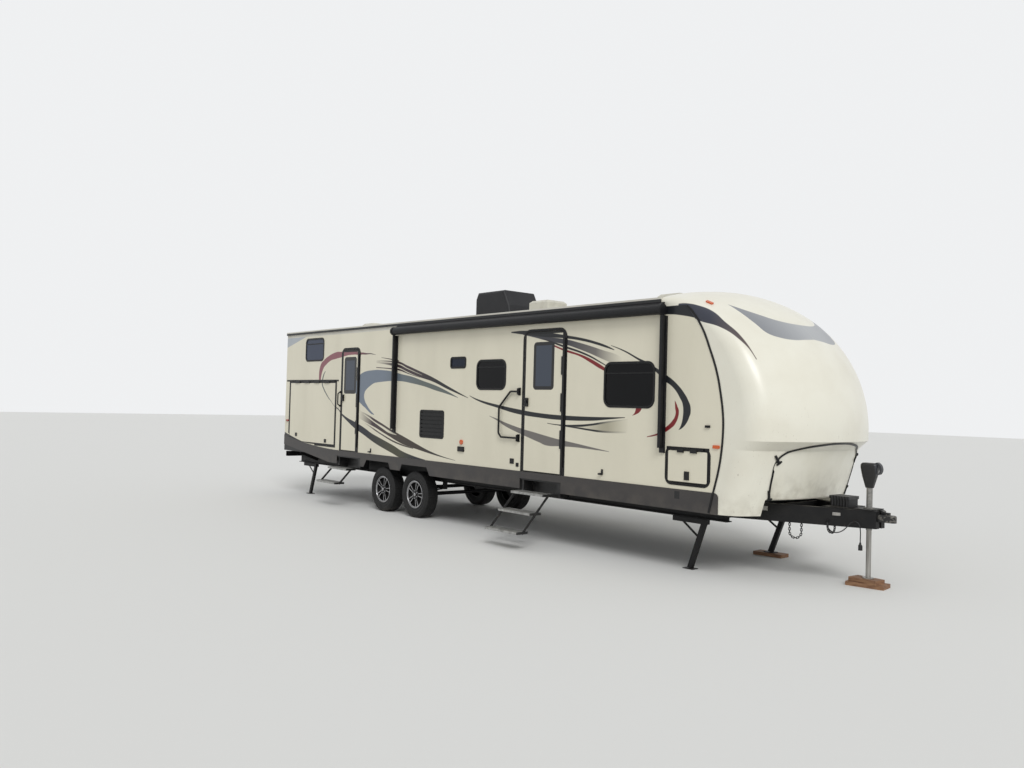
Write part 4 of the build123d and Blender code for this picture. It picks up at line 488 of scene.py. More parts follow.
# Ends of each leaf in x and z, and the black trim at its latch side, hinge side, top and foot
LEAVES = (
    (1.353, 2.175, 0.985, 2.968, 0.034, 0.044, 0.038, 0.018),
    (-3.801, -3.205, 0.985, 2.866, 0.036, 0.056, 0.046, 0.018),
    (3.984, 4.585, 1.060, 1.455, 0.016, 0.016, 0.016, 0.016),
    (-5.900, -4.018, 1.052, 2.280, 0.034, 0.030, 0.034, 0.030),
)
TRIM_EDGE = 0.003
TRIM_REACH = 0.05
OUTER_FACES = 1.2
black_parts = []
for near, far, low, high, latch, hinge, top, foot in LEAVES:
    inside = px.between(near + latch, far - hinge, TRIM_EDGE) * pz.between(low + foot, high - top, TRIM_EDGE)
    around = px.between(near - TRIM_REACH, far + TRIM_REACH, TRIM_EDGE)
    black_parts.append(around * (1 - inside) * (reach - OUTER_FACES).edge(0.004))
LEAF_FACE, FITTINGS_OUT = 1.2272, 1.36
black_parts.append((reach - LEAF_FACE).edge(0.0006) * (FITTINGS_OUT - reach).edge(0.002))
black = either(*black_parts)
scuffs = spot.noise(35, 3)
colour = mix(leaf_base, (0.045, 0.046, 0.052), black)
feed(leaf_shader, base=colour, rough=leaf_rough * (1 - black) + black * (scuffs * 0.2 + 0.36))
wear(leaf_paint, "main_door", "rear_door", "storage_door_right", "storage_door_left", "kitchen_hatch")

# Moulded front cap: one glass-fibre moulding in cream gel coat, polished, screwed to the body's frame.
# A dark brow runs on from the side wall to a point, and a soft grey band crosses the crown; its grey is partly
# painted shade, darker towards the cap's sides.
# Road film and stone specks gather low down.
cap_paint, spot, skin = finish("cap_paint", (0.88, 0.87, 0.815), 0.34, coat=0.2, coat_rough=0.25)
px, py, pz = spot.axes()
half = abs(py)
BROW_SIDES, CROWN_BACK = 0.98, 4.3
FILM_TOP, SPECKS_TOP = 1.05, 2.4
cap_brow = sweep(
    [(4.1, 3.19), (4.195, 3.19), (4.374, 3.15), (4.523, 3.085), (4.707, 2.947), (4.889, 2.79), (5.10, 2.514)],
    [(4.1, 3.05), (4.3, 3.015), (4.422, 2.965), (4.681, 2.885), (4.913, 2.73), (5.10, 2.505)],
    px, pz,
) * (half - BROW_SIDES).edge(0.01)
# Crown band: a grey band with painted shade in it, darker towards the cap's sides.
crown_band_and_shade = sweep(
    [(0, 2.98), (0.35, 3.0), (0.6, 3.07), (0.83, 3.19)],
    [(0, 2.80), (0.2, 2.785), (0.406, 2.77), (0.6, 2.785), (0.7345, 2.83), (0.784, 2.93), (0.83, 3.18)],
    half, pz,
) * (px - CROWN_BACK).edge(0.02)
cloud = spot.noise(1.8, 4)
film = (FILM_TOP - pz).ramp(0, 0.3) * spot.noise(7, 5).ramp(0.42, 0.7)
specks = spot.noise(45, 3, (1, 1, 0.5)).ramp(0.68, 0.72) * (SPECKS_TOP - pz).ramp(0, 1.2)
colour = mix(
    (0.89, 0.88, 0.825), (0.86, 0.845, 0.785), cloud.ramp(0.4, 0.75),
    mix((0.50, 0.51, 0.53), (0.63, 0.64, 0.65), half.ramp(0.75, 0.1)), crown_band_and_shade,
    mix((0.15, 0.165, 0.22), (0.33, 0.27, 0.25), px.ramp(4.55, 5.05)), cap_brow,
    (0.62, 0.59, 0.52), film * 0.45,
    (0.50, 0.45, 0.36), specks * 0.35,
)
feed(skin, base=colour, rough=cloud * 0.15 + 0.28, bump=(spot.noise(1.3, 2), 0.003))
wear(cap_paint, "front_cap")

# Lift-off cover over the gas bottles: the same cream moulding, held to the cap by four draw latches.
# It is a little duller than the cap from road film.
cover_paint, spot, skin = finish("cover_paint", (0.87, 0.86, 0.80), 0.36, coat=0.15, coat_rough=0.3)
pz = spot.axes("z")
cloud = spot.noise(2.4, 4)
COVER_FILM_TOP = 1.3
colour = mix((0.88, 0.87, 0.815), (0.84, 0.825, 0.76), cloud.ramp(0.4, 0.75))
film = (COVER_FILM_TOP - pz).ramp(0, 0.35) * spot.noise(8, 5).ramp(0.4, 0.68)
colour = mix(colour, (0.60, 0.57, 0.50), film * 0.45)
feed(skin, base=colour, rough=cloud * 0.15 + 0.3, bump=(spot.noise(1.6, 2), 0.003))
wear(cover_paint, "propane_cover")

# Roof: white rubber sheet glued to the deck, sun-chalked, turned down at the edges over the gutter rail.
# Over the gutter rail the turned-down sheet is painted near black below a set height and keeps its pale colour
# above it.
roof_white, spot, shader = finish("roof_white", (0.80, 0.79, 0.75), 0.7)
py, pz = spot.axes("yz")
patch = spot.noise(1.1, 5)
colour = mix((0.82, 0.81, 0.77), (0.75, 0.74, 0.70), patch.ramp(0.4, 0.75))
RAIL_FACE, RAIL_DARK_TOP = 1.2225, 3.262
rail = (abs(py) - RAIL_FACE).edge(0.002)
colour = mix(colour, (0.05, 0.052, 0.06), rail * (RAIL_DARK_TOP - pz).edge(0.002))
feed(shader, base=colour, rough=patch * 0.2 + 0.5 - rail * 0.15, bump=(spot.noise(90, 2), 0.001))
wear(roof_white, "roof")

# Skirts: roll-formed dark grey sheet with a dull brown cast, screwed on below the walls.
# Road film lies along the foot, and a dark port for hoses sits near the front of the door side.
skirt_paint, spot, shader = finish("skirt_paint", (0.27, 0.255, 0.25), 0.42, metal=0.15, coat=0.1)
px, py, pz = spot.axes()
film = spot.noise(5, 5)
SKIRT_FILM_TOP = 0.93
PORT_ENDS, PORT_HEIGHTS = (4.108, 4.185), (0.87, 0.96)
port = px.between(*PORT_ENDS, 0.003) * pz.between(*PORT_HEIGHTS, 0.003)
colour = mix(
    (0.22, 0.208, 0.205), (0.245, 0.23, 0.222), film.ramp(0.35, 0.7),
    (0.40, 0.375, 0.34), (SKIRT_FILM_TOP - pz).ramp(0, 0.2) * film.ramp(0.42, 0.7) * 0.35,
    (0.10, 0.10, 0.105), port * (0 - py).edge(0.01),
)
feed(shader, base=colour, rough=film * 0.2 + 0.34, bump=(spot.noise(26, 2), 0.0008))
wear(skirt_paint, "skirts")

# Welded steel: ladder frame, A-frame tongue, axles on leaf springs and the stabilisers bolted below.
# It is in satin black enamel, dusty on top and rusty where stones chip it.
chassis_black, spot, shader = finish("chassis_black", (0.10, 0.10, 0.105), 0.5, specular=0.3)
dust = spot.noise(7, 5)
chips = spot.noise(55, 4)
upward = spot.node("ShaderNodeTexCoord", out=1).axes("z")
colour = mix(
    (0.05, 0.05, 0.055), (0.10, 0.097, 0.095), dust.ramp(0.35, 0.75),
    (0.30, 0.285, 0.26), upward.ramp(0.6, 1.0) * dust.ramp(0.35, 0.65) * 0.6,
    (0.27, 0.14, 0.075), chips.ramp(0.70, 0.74) * dust.ramp(0.4, 0.6),
)
feed(shader, base=colour, rough=dust * 0.3 + 0.38, bump=(chips, 0.0012))
wear(chassis_black, "chassis_frame", "tongue_frame", "running_gear", "stabilisers")

# Underbelly: corrugated black plastic sheet, screwed up under the frame's rails.
# Road dust fogs it.
sheet_black, spot, shader = finish("sheet_black", (0.09, 0.09, 0.095), 0.6)
dust = spot.noise(3, 5)
flutes = spot.wave("Y", 30.0)
colour = mix((0.075, 0.075, 0.08), (0.17, 0.16, 0.15), dust.ramp(0.4, 0.75))
feed(shader, base=colour, rough=dust * 0.2 + 0.5, bump=(flutes, 0.001))
wear(sheet_black, "underbelly")

# Window, door and hatch frames and the grab handle: extruded aluminium, powder-coated black.
# The frames are screwed or clamped round their openings on a bead of sealant.
trim_black = mottled(
    "trim_black", (0.075, 0.075, 0.08), 0.38, (0.035, 0.036, 0.042), (0.07, 0.07, 0.075), (4, 4),
    (0.4, 0.75), (0.2, 0.3), 0.0002, (900, 1), (40, 3), specular=0.3,
)
wear(trim_black, "frames", "grab_handle")

# Windows: dark tinted safety glass in clamp rings, near black from outside.
# Two panes of the door side, one amidships and one at the rear, are painted a paler blue-grey.
tinted_glass, spot, shader = finish("tinted_glass", (0.03, 0.035, 0.045), 0.05, specular=0.18)
px, py = spot.axes("xy")
colour = mix((0.012, 0.014, 0.02), (0.035, 0.04, 0.05), spot.noise(0.8, 3).ramp(0.35, 0.7))
door_side = (0 - py).edge(0.01)
PALE_PANES = (((-0.45, 0.02), (0.10, 0.13, 0.19)), ((-5.28, -4.52), (0.25, 0.28, 0.35)))
for ends, pane_colour in PALE_PANES:
    colour = mix(colour, pane_colour, px.between(*ends, 0.01) * door_side)
feed(shader, base=colour, rough=spot.noise(12, 4) * 0.06 + 0.03, alpha=spot.noise(3, 2) * 0.02 + 0.93)
wear(tinted_glass, "window_glass", "slide_living_glass", "slide_bedroom_glass")

# Door windows: grey obscured glass, set into the leaf in a black rubber ring.
# Its ripple is rolled into the sheet.
door_glass, spot, shader = finish("door_glass", (0.13, 0.15, 0.18), 0.12)
px, pz = spot.axes("xz")
DOOR_PANES = ((1.598, 1.921, 2.198, 2.767), (-3.655, -3.354, 2.114, 2.662))
pane = either(*(px.between(*ends[:2], 0.006) * pz.between(*ends[2:], 0.006) for ends in DOOR_PANES))
ripple = spot.noise(180, 2)
colour = mix((0.02, 0.022, 0.028), (0.20, 0.235, 0.29), pane)
feed(shader, base=colour, rough=pane * 0.12 + 0.06, bump=(ripple * pane, 0.0004))
wear(door_glass, "main_door_glass", "rear_door_glass")

# Awning: charcoal vinyl rolled on an aluminium tube, on folding arms with end caps, all in black.
# The brackets of the arms are screwed to the wall.
awning_black, spot, shader = finish("awning_black", (0.10, 0.10, 0.105), 0.45, specular=0.3)
weave = spot.wave("X", 240.0)
wraps = spot.noise(9, 3, (0.15, 1, 1))
colour = mix((0.05, 0.053, 0.065), (0.09, 0.09, 0.10), wraps.ramp(0.38, 0.72))
feed(shader, base=colour, rough=wraps * 0.3 + 0.32, bump=(weave * 0.3 + wraps, 0.0012))
wear(awning_black, "awning")


# Awning rail: a black extrusion screwed along the wall between the two arms.
# The last turn of vinyl runs up to it from the top of the roll.
def block(name, location, scale):
    """A box added at its size and place, both applied to its mesh."""
    bpy.ops.mesh.primitive_cube_add(size=1, location=location, scale=scale)
    piece = bpy.context.object
    piece.name = piece.data.name = name
    bpy.ops.object.transform_apply(location=True, scale=True)
    return piece


SMOOTH_ANGLE = math.radians(35)
PICK_MODES = {"verts": "VERT", "edges": "EDGE", "faces": "FACE"}


def pick(kind, test):
    """Selects, in the mesh in edit mode, only the verts, edges or faces that pass a test."""
    bpy.ops.mesh.select_mode(type=PICK_MODES[kind])
    bpy.ops.mesh.select_all(action="DESELECT")
    mesh = bmesh.from_edit_mesh(bpy.context.object.data)
    for item in getattr(mesh, kind):
        if test(item):
            item.select_set(True)
    mesh.select_flush_mode()
    bmesh.update_edit_mesh(bpy.context.object.data)


def edit(piece):
    """Opens a piece's mesh in edit mode."""
    bpy.context.view_layer.objects.active = piece
    bpy.ops.object.mode_set(mode="EDIT")


def done(smooth=False):
    """Leaves edit mode; smooth rounds the shading over all but the sharp edges."""
    bpy.ops.object.mode_set(mode="OBJECT")
    if smooth:
        bpy.ops.object.shade_smooth_by_angle(angle=SMOOTH_ANGLE)


AWNING_RAIL_PLACE, AWNING_RAIL_SIZE = (0.971, -1.2285, 3.212), (5.84, 0.017, 0.024)
awning_rail = block("awning_rail", AWNING_RAIL_PLACE, AWNING_RAIL_SIZE)
edit(awning_rail)
pick("verts", lambda vert: vert.co.y < AWNING_RAIL_PLACE[1] and vert.co.z < AWNING_RAIL_PLACE[2])
bpy.ops.transform.translate(value=(0, -0.056, -0.008))
done()
fit(awning_rail, awning_black)


# Roof unit: a ribbed charcoal shroud of moulded plastic, screwed down over the compressor.
# The sun has greyed it in patches.
unit_dark = mottled(
    "unit_dark", (0.14, 0.14, 0.145), 0.5, (0.085, 0.087, 0.10), (0.14, 0.14, 0.148), (3, 4), (0.35, 0.7),
    (0.2, 0.4), 0.0005, (500, 1), specular=0.35,
)
wear(unit_dark, "air_conditioner")

# Roof vents: milky polycarbonate lids, each hinged in a pale moulded flange.
# The flanges are screwed to the deck and sealed round.
vent_white = mottled(
    "vent_white", (0.76, 0.75, 0.70), 0.45, (0.80, 0.79, 0.74), (0.68, 0.665, 0.61), (5, 4),
    (0.4, 0.75), (0.3, 0.3), 0.0006, (300, 2), (30, 3),
)
wear(vent_white, "roof_vents")

# Cabin floor: plywood deck glued and screwed to joists on the frame.
# It is painted wood-brown above the deck's top and near black below it.
ply, spot, shader = finish("ply", (0.46, 0.36, 0.25), 0.6)
pz = spot.axes("z")
grain = spot.noise(5, 6, (1, 9, 1))
colour = mix((0.40, 0.30, 0.20), (0.55, 0.44, 0.31), grain.ramp(0.3, 0.7))
DECK_TOP = 0.978
colour = mix((0.08, 0.08, 0.085), colour, (pz - DECK_TOP).edge(0.002))
feed(shader, base=colour, rough=grain * 0.2 + 0.5, bump=(grain, 0.0015))
wear(ply, "floor")

# Storage bays and kitchen bay: liners and shelves of white-grey board with a pebbled glass-fibre face.
# The boards are stapled and sealed at their edges.
liner, spot, shader = finish("liner", (0.62, 0.61, 0.58), 0.55)
pebble = spot.node("ShaderNodeTexVoronoi", None, {"Vector": spot, "Scale": 160.0})
stain = spot.noise(4, 4)
colour = mix((0.64, 0.63, 0.60), (0.52, 0.50, 0.47), stain.ramp(0.4, 0.75))
feed(shader, base=colour, rough=stain * 0.2 + 0.45, bump=(pebble, 0.0008))
wear(liner, "bay_liners")

# Coupler: cast steel socket with its latch, welded to the tip of the tongue.
# Its black paint is worn through to zinc grey.
coupler_steel, spot, shader = finish("coupler_steel", (0.30, 0.30, 0.30), 0.42, metal=0.6)
worn = spot.noise(24, 5)
bare = worn.ramp(0.50, 0.56)
colour = mix((0.10, 0.10, 0.105), (0.42, 0.41, 0.39), bare)
feed(shader, base=colour, rough=worn * 0.3 + 0.3, metal=bare * 0.7, bump=(worn, 0.001))
wear(coupler_steel, "hitch_coupler")

# Powered jack: a black cast head over a zinc-plated tube that is bolted through the tongue.
# A smoked work lamp is let into the head's face.
jack_finish, spot, shader = finish("jack_finish", (0.08, 0.08, 0.085), 0.42)
px, pz = spot.axes("xz")
TUBE_TOP, LAMP_BACK = 1.105, 5.97
tube = (TUBE_TOP - pz).edge(0.002)
plate = spot.noise(30, 4)
patches = plate.ramp(0.35, 0.7)
colour = mix(
    (0.07, 0.07, 0.075), (0.115, 0.113, 0.11), patches,
    mix((0.50, 0.50, 0.49), (0.62, 0.61, 0.59), patches), tube,
    (0.19, 0.195, 0.21), (px - LAMP_BACK).edge(0.002),
)
feed(shader, base=colour, rough=plate * 0.25 + 0.25, metal=tube * 0.8, bump=(spot.noise(300, 2), 0.0005))
wear(jack_finish, "tongue_jack")

# Inner tube of the jack: drawn steel, plated and dulled, with a pressed foot pinned to its end.
# It slides in the outer tube.
plated_steel = mottled(
    "plated_steel", (0.62, 0.61, 0.59), 0.34, (0.52, 0.51, 0.49), (0.70, 0.69, 0.67), (30, 4, (1, 1, 0.1)),
    (0.3, 0.7), (0.3, 0.22), 0.0003, metal=0.85,
)
wear(plated_steel, "jack_leg")

# Safety chains: welded steel links, shackled to the tongue on both sides of the coupler.
# Their zinc has gone dark grey with road dirt.
chain_grey = mottled(
    "chain_grey", (0.16, 0.16, 0.16), 0.5, (0.07, 0.07, 0.072), (0.22, 0.215, 0.205), (60, 4),
    (0.45, 0.7), (0.3, 0.38), 0.0006, metal=0.5,
)
wear(chain_grey, "safety_chains")

# Blocks under the jack and the far front leg: offcuts of sawn softwood, laid one on another.
# They are weathered grey-brown, with knots.
timber, spot, shader = finish("timber", (0.60, 0.50, 0.37), 0.75)
grain = spot.noise(6, 8, (1, 7, 12))
knots = spot.noise(9, 2)
colour = mix((0.40, 0.27, 0.19), (0.60, 0.46, 0.34), grain.ramp(0.3, 0.7))
colour = mix(colour, (0.36, 0.27, 0.19), knots.ramp(0.66, 0.72) * 0.7)
feed(shader, base=colour, rough=grain * 0.2 + 0.62, bump=(grain, 0.002))
wear(timber, "wood_blocks")

# Battery: a black moulded box with ribbed sides, strapped down with its lid on a welded tray.
# The crests of the ribs carry a painted highlight, pale grey in patches of the dust noise.
battery_black, spot, shader = finish("battery_black", (0.07, 0.07, 0.075), 0.5)
dust = spot.noise(12, 4)
ribs = spot.wave("X", 9.0)
colour = mix((0.05, 0.05, 0.055), (0.11, 0.108, 0.105), dust.ramp(0.45, 0.8))
# Painted highlight: pale grey on the crests of the ribs, in patches where the dust noise is high.
colour = mix(colour, (0.30, 0.30, 0.31), ribs.ramp(0.80, 0.95) * dust.ramp(0.3, 0.6) * 0.6)
feed(shader, base=colour, rough=dust * 0.3 + 0.36, bump=(ribs, 0.006))
wear(battery_black, "battery_box")

# Entry steps: folded steel links and trays in black, riveted so that they fold away under the doors.
# The treads are bright ribbed aluminium.
step_metal, spot, shader = finish("step_metal", (0.10, 0.10, 0.105), 0.45)
px, py = spot.axes("xy")
TREADS = ((1.394, 2.046), (-3.826, -3.174))
FIRST_NOSING = -1.25
tread = either(*(px.between(*ends, 0.002) for ends in TREADS)) * (FIRST_NOSING - py).edge(0.004)
ribs = spot.wave("Y", 16.0)
scrape = spot.noise(18, 5)
colour = mix((0.085, 0.085, 0.09), (0.16, 0.155, 0.15), scrape.ramp(0.4, 0.7))
colour = mix(colour, mix((0.55, 0.55, 0.54), (0.70, 0.70, 0.69), scrape.ramp(0.35, 0.65)), tread)
feed(shader, base=colour, rough=scrape * 0.25 + 0.3, metal=tread * 0.75, bump=(ribs * tread + scrape, 0.0015))
wear(step_metal, "entry_steps")

# Lamps: moulded lenses with fine prisms, each screwed or snapped to its base on the wall or cap.
# They are red at the rear, amber along the sides and front, and orange over the door.
lens, spot, shader = finish("lens", (0.78, 0.36, 0.07), 0.22, coat=0.4)
px = spot.axes("x")
prism = spot.wave("Z", 60.0)
RED_BEHIND = -5.9
colour = mix((0.80, 0.33, 0.06), (0.55, 0.04, 0.035), (RED_BEHIND - px).edge(0.02))
colour = mix(colour, (0.93, 0.45, 0.12), prism * 0.12)
feed(shader, base=colour, rough=prism * 0.12 + 0.14, bump=(prism, 0.0008))
wear(lens, "lamps")


# Tyres: radial trailer tyres in black rubber, moulded with ribs of cut tread blocks.
# The side walls are plain but for two raised rings, and grey with road dust.
def steps(test, *pairs):
    """Insets the faces that pass a test, one ring after another, each by (thickness, depth)."""
    pick("faces", test)
    for thickness, depth in pairs:
        bpy.ops.mesh.inset(thickness=thickness, depth=depth)


def cuts(normal, *places):
    """Cuts the mesh in edit mode across, at each place along a normal."""
    for place in places:
        bpy.ops.mesh.select_all(action="SELECT")
        bpy.ops.mesh.bisect(plane_co=Vector(normal) * place, plane_no=normal)


def drum(name, vertices, radius, outer, inner, x=0):
    """A cylinder across the caravan, from y outer to y inner, with its place in its mesh."""
    bpy.ops.mesh.primitive_cylinder_add(
        vertices=vertices, radius=radius, depth=inner - outer, location=(x, (outer + inner) / 2, 0),
        rotation=(math.pi / 2, 0, 0),
    )
    piece = bpy.context.object
    piece.name = piece.data.name = name
    bpy.ops.object.transform_apply(location=True, rotation=True)
    return piece


def copied(piece, name, matrix):
    """A copy of a piece with its own mesh, moved or turned in its mesh."""
    twin = piece.copy()
    twin.data = piece.data.copy()
    twin.name = twin.data.name = name
    twin.data.transform(matrix)
    bpy.context.scene.collection.objects.link(twin)
    return twin


def remove(piece):
    bpy.data.objects.remove(piece, do_unlink=True)


WHEEL_BOTTOM_RADIUS = 0.385
TREAD_BASE = 0.375
BLOCK_DEPTH, BLOCK_GAP = 0.007, 0.0032
BELT_HALF = 0.1
GROOVES = (-0.060, -0.022, 0.022, 0.060)
DUST_TOP = 0.12
tyre = drum("tyre", 80, TREAD_BASE, -BELT_HALF, BELT_HALF)
edit(tyre)
cuts((0, 1, 0), *GROOVES)
pick("faces", lambda face: abs(face.normal.y) < 0.1)
bpy.ops.mesh.inset(thickness=BLOCK_GAP, depth=BLOCK_DEPTH, use_individual=True)
steps(
    lambda face: abs(face.normal.y) > 0.9 and len(face.verts) > 8,
    (0.012, 0.010), (0.030, 0.0065), (0.006, 0.0015), (0.004, -0.0015), (0.035, 0.0), (0.003, 0.0015),
    (0.003, -0.0015), (0.030, -0.009), (0.022, -0.012),
)
bpy.ops.mesh.delete(type="FACE")
pick("edges", lambda edge: edge.is_boundary)
bpy.ops.mesh.bridge_edge_loops()
done(smooth=True)
tyre_rubber, spot, shader = finish("tyre_rubber", (0.06, 0.06, 0.062), 0.75)
pz = spot.axes("z")
dust = spot.noise(9, 5)
smear = spot.noise(50, 3)
colour = mix((0.040, 0.040, 0.043), (0.085, 0.083, 0.08), dust.ramp(0.35, 0.7))
foot_dust = (DUST_TOP - pz).ramp(0, DUST_TOP) * dust.ramp(0.35, 0.6)
colour = mix(colour, (0.24, 0.225, 0.20), foot_dust * 0.6)
feed(shader, base=colour, rough=smear * 0.2 + 0.62, bump=(smear, 0.0008))
tyre.data.materials.append(tyre_rubber)
WHEEL_ROWS = (("rear", -2.411), ("front", -1.431))
WHEEL_SIDES = (("right", -1.0325, 0), ("left", 1.0325, math.pi))
WHEEL_PLACES = [
    (f"{end}_{hand}", Matrix.Translation((x, y, WHEEL_BOTTOM_RADIUS)) @ Matrix.Rotation(turned, 4, "Z"))
    for end, x in WHEEL_ROWS for hand, y, turned in WHEEL_SIDES
]


def on_each_wheel(piece, name, stands_for):
    """Puts a copy of a piece on each wheel in place of its CAD node."""
    for place, matrix in WHEEL_PLACES:
        fitted = copied(piece, f"{name}_{place}", matrix)
        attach(fitted, f"wheel_{place}")
        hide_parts(f"{stands_for}_{place}")
    remove(piece)


on_each_wheel(tyre, "trailer_tyre", "tyre")

# Alloy wheels: cast in black, the lip and the faces of five split spokes turned bright.
# Six nuts hold each to its drum, behind a pressed cap.
BRIGHT, BLACK = 0, 1
alloy_bright = mottled(
    "alloy_bright", (0.66, 0.66, 0.67), 0.3, (0.68, 0.68, 0.69), (0.46, 0.45, 0.44), (22, 4),
    (0.45, 0.75), (0.3, 0.16), 0.0004, metal=0.9,
)
alloy_black = mottled(
    "alloy_black", (0.05, 0.05, 0.055), 0.4, (0.035, 0.035, 0.04), (0.11, 0.105, 0.10), (18, 4),
    (0.42, 0.75), (0.3, 0.3), 0.0006,
)


def two_tone(piece, bright):
    """Gives a piece both wheel finishes: bright where the test on a polygon holds."""
    piece.data.materials.append(alloy_bright)
    piece.data.materials.append(alloy_black)
    for polygon in piece.data.polygons:
        polygon.material_index = BRIGHT if bright(polygon) else BLACK


def outside(face):
    return face.normal.y < -0.9


def inboard(face):
    return face.normal.y > 0.9


LIP_DEPTH, LIP_RADIUS = -0.096, 0.2
barrel = drum("barrel", 72, 0.2295, -0.1075, 0.0935)
edit(barrel)
steps(
    outside, (0.002, 0.001), (0.010, 0.0), (0.004, -0.010), (0.010, -0.002), (0.004, -0.040), (0.004, -0.008),
)
steps(
    inboard, (0.012, 0.0), (0.002, -0.128), (0.055, 0.0), (0.001, 0.059), (0.06, 0.0), (0.003, 0.006),
    (0.0565, 0.0), (0.0005, -0.098),
)
done(smooth=True)
two_tone(barrel, lambda polygon: polygon.center.y < LIP_DEPTH and polygon.center.xz.length > LIP_RADIUS)

CAP_DEPTH = -0.109
hub = drum("hub", 48, 0.085, -0.094, -0.046)
edit(hub)
steps(
    outside, (0.002, 0.002), (0.002, -0.001), (0.038, 0.002), (0.002, -0.006), (0.005, 0.0), (0.002, 0.014),
    (0.004, 0.004), (0.012, 0.002),
)
steps(inboard, (0.045, 0.0), (0.0005, -0.022))
done(smooth=True)
two_tone(hub, lambda polygon: polygon.center.y < CAP_DEPTH)

SPOKE_PAIRS = 5
SPOKE_ROOT, SPOKE_TIP = 0.066, 0.211
SPOKE_DEPTH, SPOKE_OFFSET = -0.071, 0.014
SPOKE_MIDDLE, SPOKE_FACE = (SPOKE_ROOT + SPOKE_TIP) / 2, -0.08
spoke = block("spoke", (SPOKE_MIDDLE, SPOKE_DEPTH, SPOKE_OFFSET), (SPOKE_TIP - SPOKE_ROOT, 0.044, 0.013))
edit(spoke)
pick("verts", lambda vert: vert.co.x > SPOKE_MIDDLE)
bpy.ops.transform.resize(value=(1, 1, 1.5), center_override=(SPOKE_TIP, SPOKE_DEPTH, SPOKE_OFFSET))
bpy.ops.transform.translate(value=(0, -0.004, 0.023))
steps(lambda face: face.normal.y < -0.8, (0.0016, 0.0016))
done(smooth=True)
two_tone(spoke, lambda polygon: polygon.normal.y < -0.9 and polygon.center.y < SPOKE_FACE)
other = copied(spoke, "spoke_other", Matrix.Scale(-1, 4, (0, 0, 1)))
other.data.flip_normals()
pieces = [hub]
for i in range(SPOKE_PAIRS):
    around = Matrix.Rotation(2 * math.pi * i / SPOKE_PAIRS, 4, "Y")
    pieces += [copied(bar, f"spoke_{i}", around) for bar in (spoke, other)]
remove(spoke)
remove(other)

NUTS = 6
nut = drum("nut", 6, 0.0105, -0.106, -0.090, x=0.062)
edit(nut)
steps(outside, (0.002, 0.0015), (0.003, 0.002))
done()
two_tone(nut, lambda polygon: True)
for i in range(NUTS):
    pieces.append(copied(nut, f"nut_{i}", Matrix.Rotation(2 * math.pi * (i + 0.5) / NUTS, 4, "Y")))
remove(nut)
bpy.ops.object.select_all(action="DESELECT")
for piece in (*pieces, barrel):
    piece.select_set(True)
bpy.context.view_layer.objects.active = barrel
bpy.ops.object.join()
on_each_wheel(barrel, "alloy_wheel", "rim")

# Seam inserts: black vinyl strips pressed into rails over the joints of wall and cap.
# One follows the J-shaped joint on each side, down over the skirt; one edges the lift-off cover.
insert_black = mottled(
    "insert_black", (0.05, 0.052, 0.06), 0.42, (0.035, 0.037, 0.045), (0.085, 0.085, 0.09), (10, 4),
    (0.4, 0.75), (0.25, 0.28), 0.0003, (700, 1), specular=0.35,
)


def modified(piece, kind, **settings):
    """Gives a piece a modifier and applies it."""
    bpy.context.view_layer.objects.active = piece
    modifier = piece.modifiers.new(kind.lower(), kind)
    for key, value in settings.items():
        setattr(modifier, key, value)
    bpy.ops.object.modifier_apply(modifier=modifier.name)


def ribbon(name, route, width, divisions):
    """A flat strip along a smooth flat route of (x, y) points, as a mesh facing +Z."""
    path = bpy.data.curves.new("route", "CURVE")
    path.dimensions = "2D"
    path.use_stretch = True
    path.use_deform_bounds = True
    path.resolution_u = 24
    line = path.splines.new("BEZIER")
    line.bezier_points.add(len(route) - 1)
    for point, where in zip(line.bezier_points, route):
        point.co = (*where, 0)
        point.handle_left_type = point.handle_right_type = "AUTO"
    guide = bpy.data.objects.new("route", path)
    bpy.context.scene.collection.objects.link(guide)
    bpy.ops.object.select_all(action="DESELECT")
    bpy.ops.mesh.primitive_plane_add(size=1, location=(0.5, 0, 0))
    strip = bpy.context.object
    strip.name = strip.data.name = name
    bpy.ops.transform.resize(value=(1, width, 1))
    bpy.ops.object.transform_apply(location=True, scale=True)
    edit(strip)
    pick("edges", lambda edge: abs(edge.verts[0].co.x - edge.verts[1].co.x) > 0.5)
    bpy.ops.mesh.subdivide(number_cuts=divisions)
    done()
    modified(strip, "CURVE", object=guide)
    remove(guide)
    return strip


def thicken(strip, thickness, round_edge):
    """Gives a strip its thickness, proud of the side its faces point to, and rounded edges."""
    modified(strip, "SOLIDIFY", thickness=thickness, offset=1)
    modified(strip, "BEVEL", width=round_edge, segments=2, limit_method="ANGLE")


WALL_FACE = 1.220
SKIRT_FACE = 1.228
SKIRT_TOP = 1.0
J_SEAM = (
    (4.232, 3.160), (4.308, 3.088), (4.462, 2.877), (4.577, 2.627), (4.673, 2.377), (4.738, 2.108),
    (4.777, 1.838), (4.779, 1.685), (4.762, 1.454), (4.723, 1.223), (4.673, 1.031), (4.650, 0.93), (4.607, 0.752),
)
seam = ribbon("seam_insert_right", J_SEAM, 0.026, 90)
upright = Matrix.Rotation(math.pi / 2, 4, "X")
seam.data.transform(Matrix.Translation((0, -WALL_FACE, 0)) @ upright)
edit(seam)
pick("verts", lambda vert: vert.co.z < SKIRT_TOP)
bpy.ops.transform.translate(value=(0, WALL_FACE - SKIRT_FACE, 0))
done()
thicken(seam, 0.007, 0.002)
far_seam = copied(seam, "seam_insert_left", Matrix.Scale(-1, 4, (0, 1, 0)))
far_seam.data.flip_normals()
fit(seam, insert_black)
fit(far_seam, insert_black)

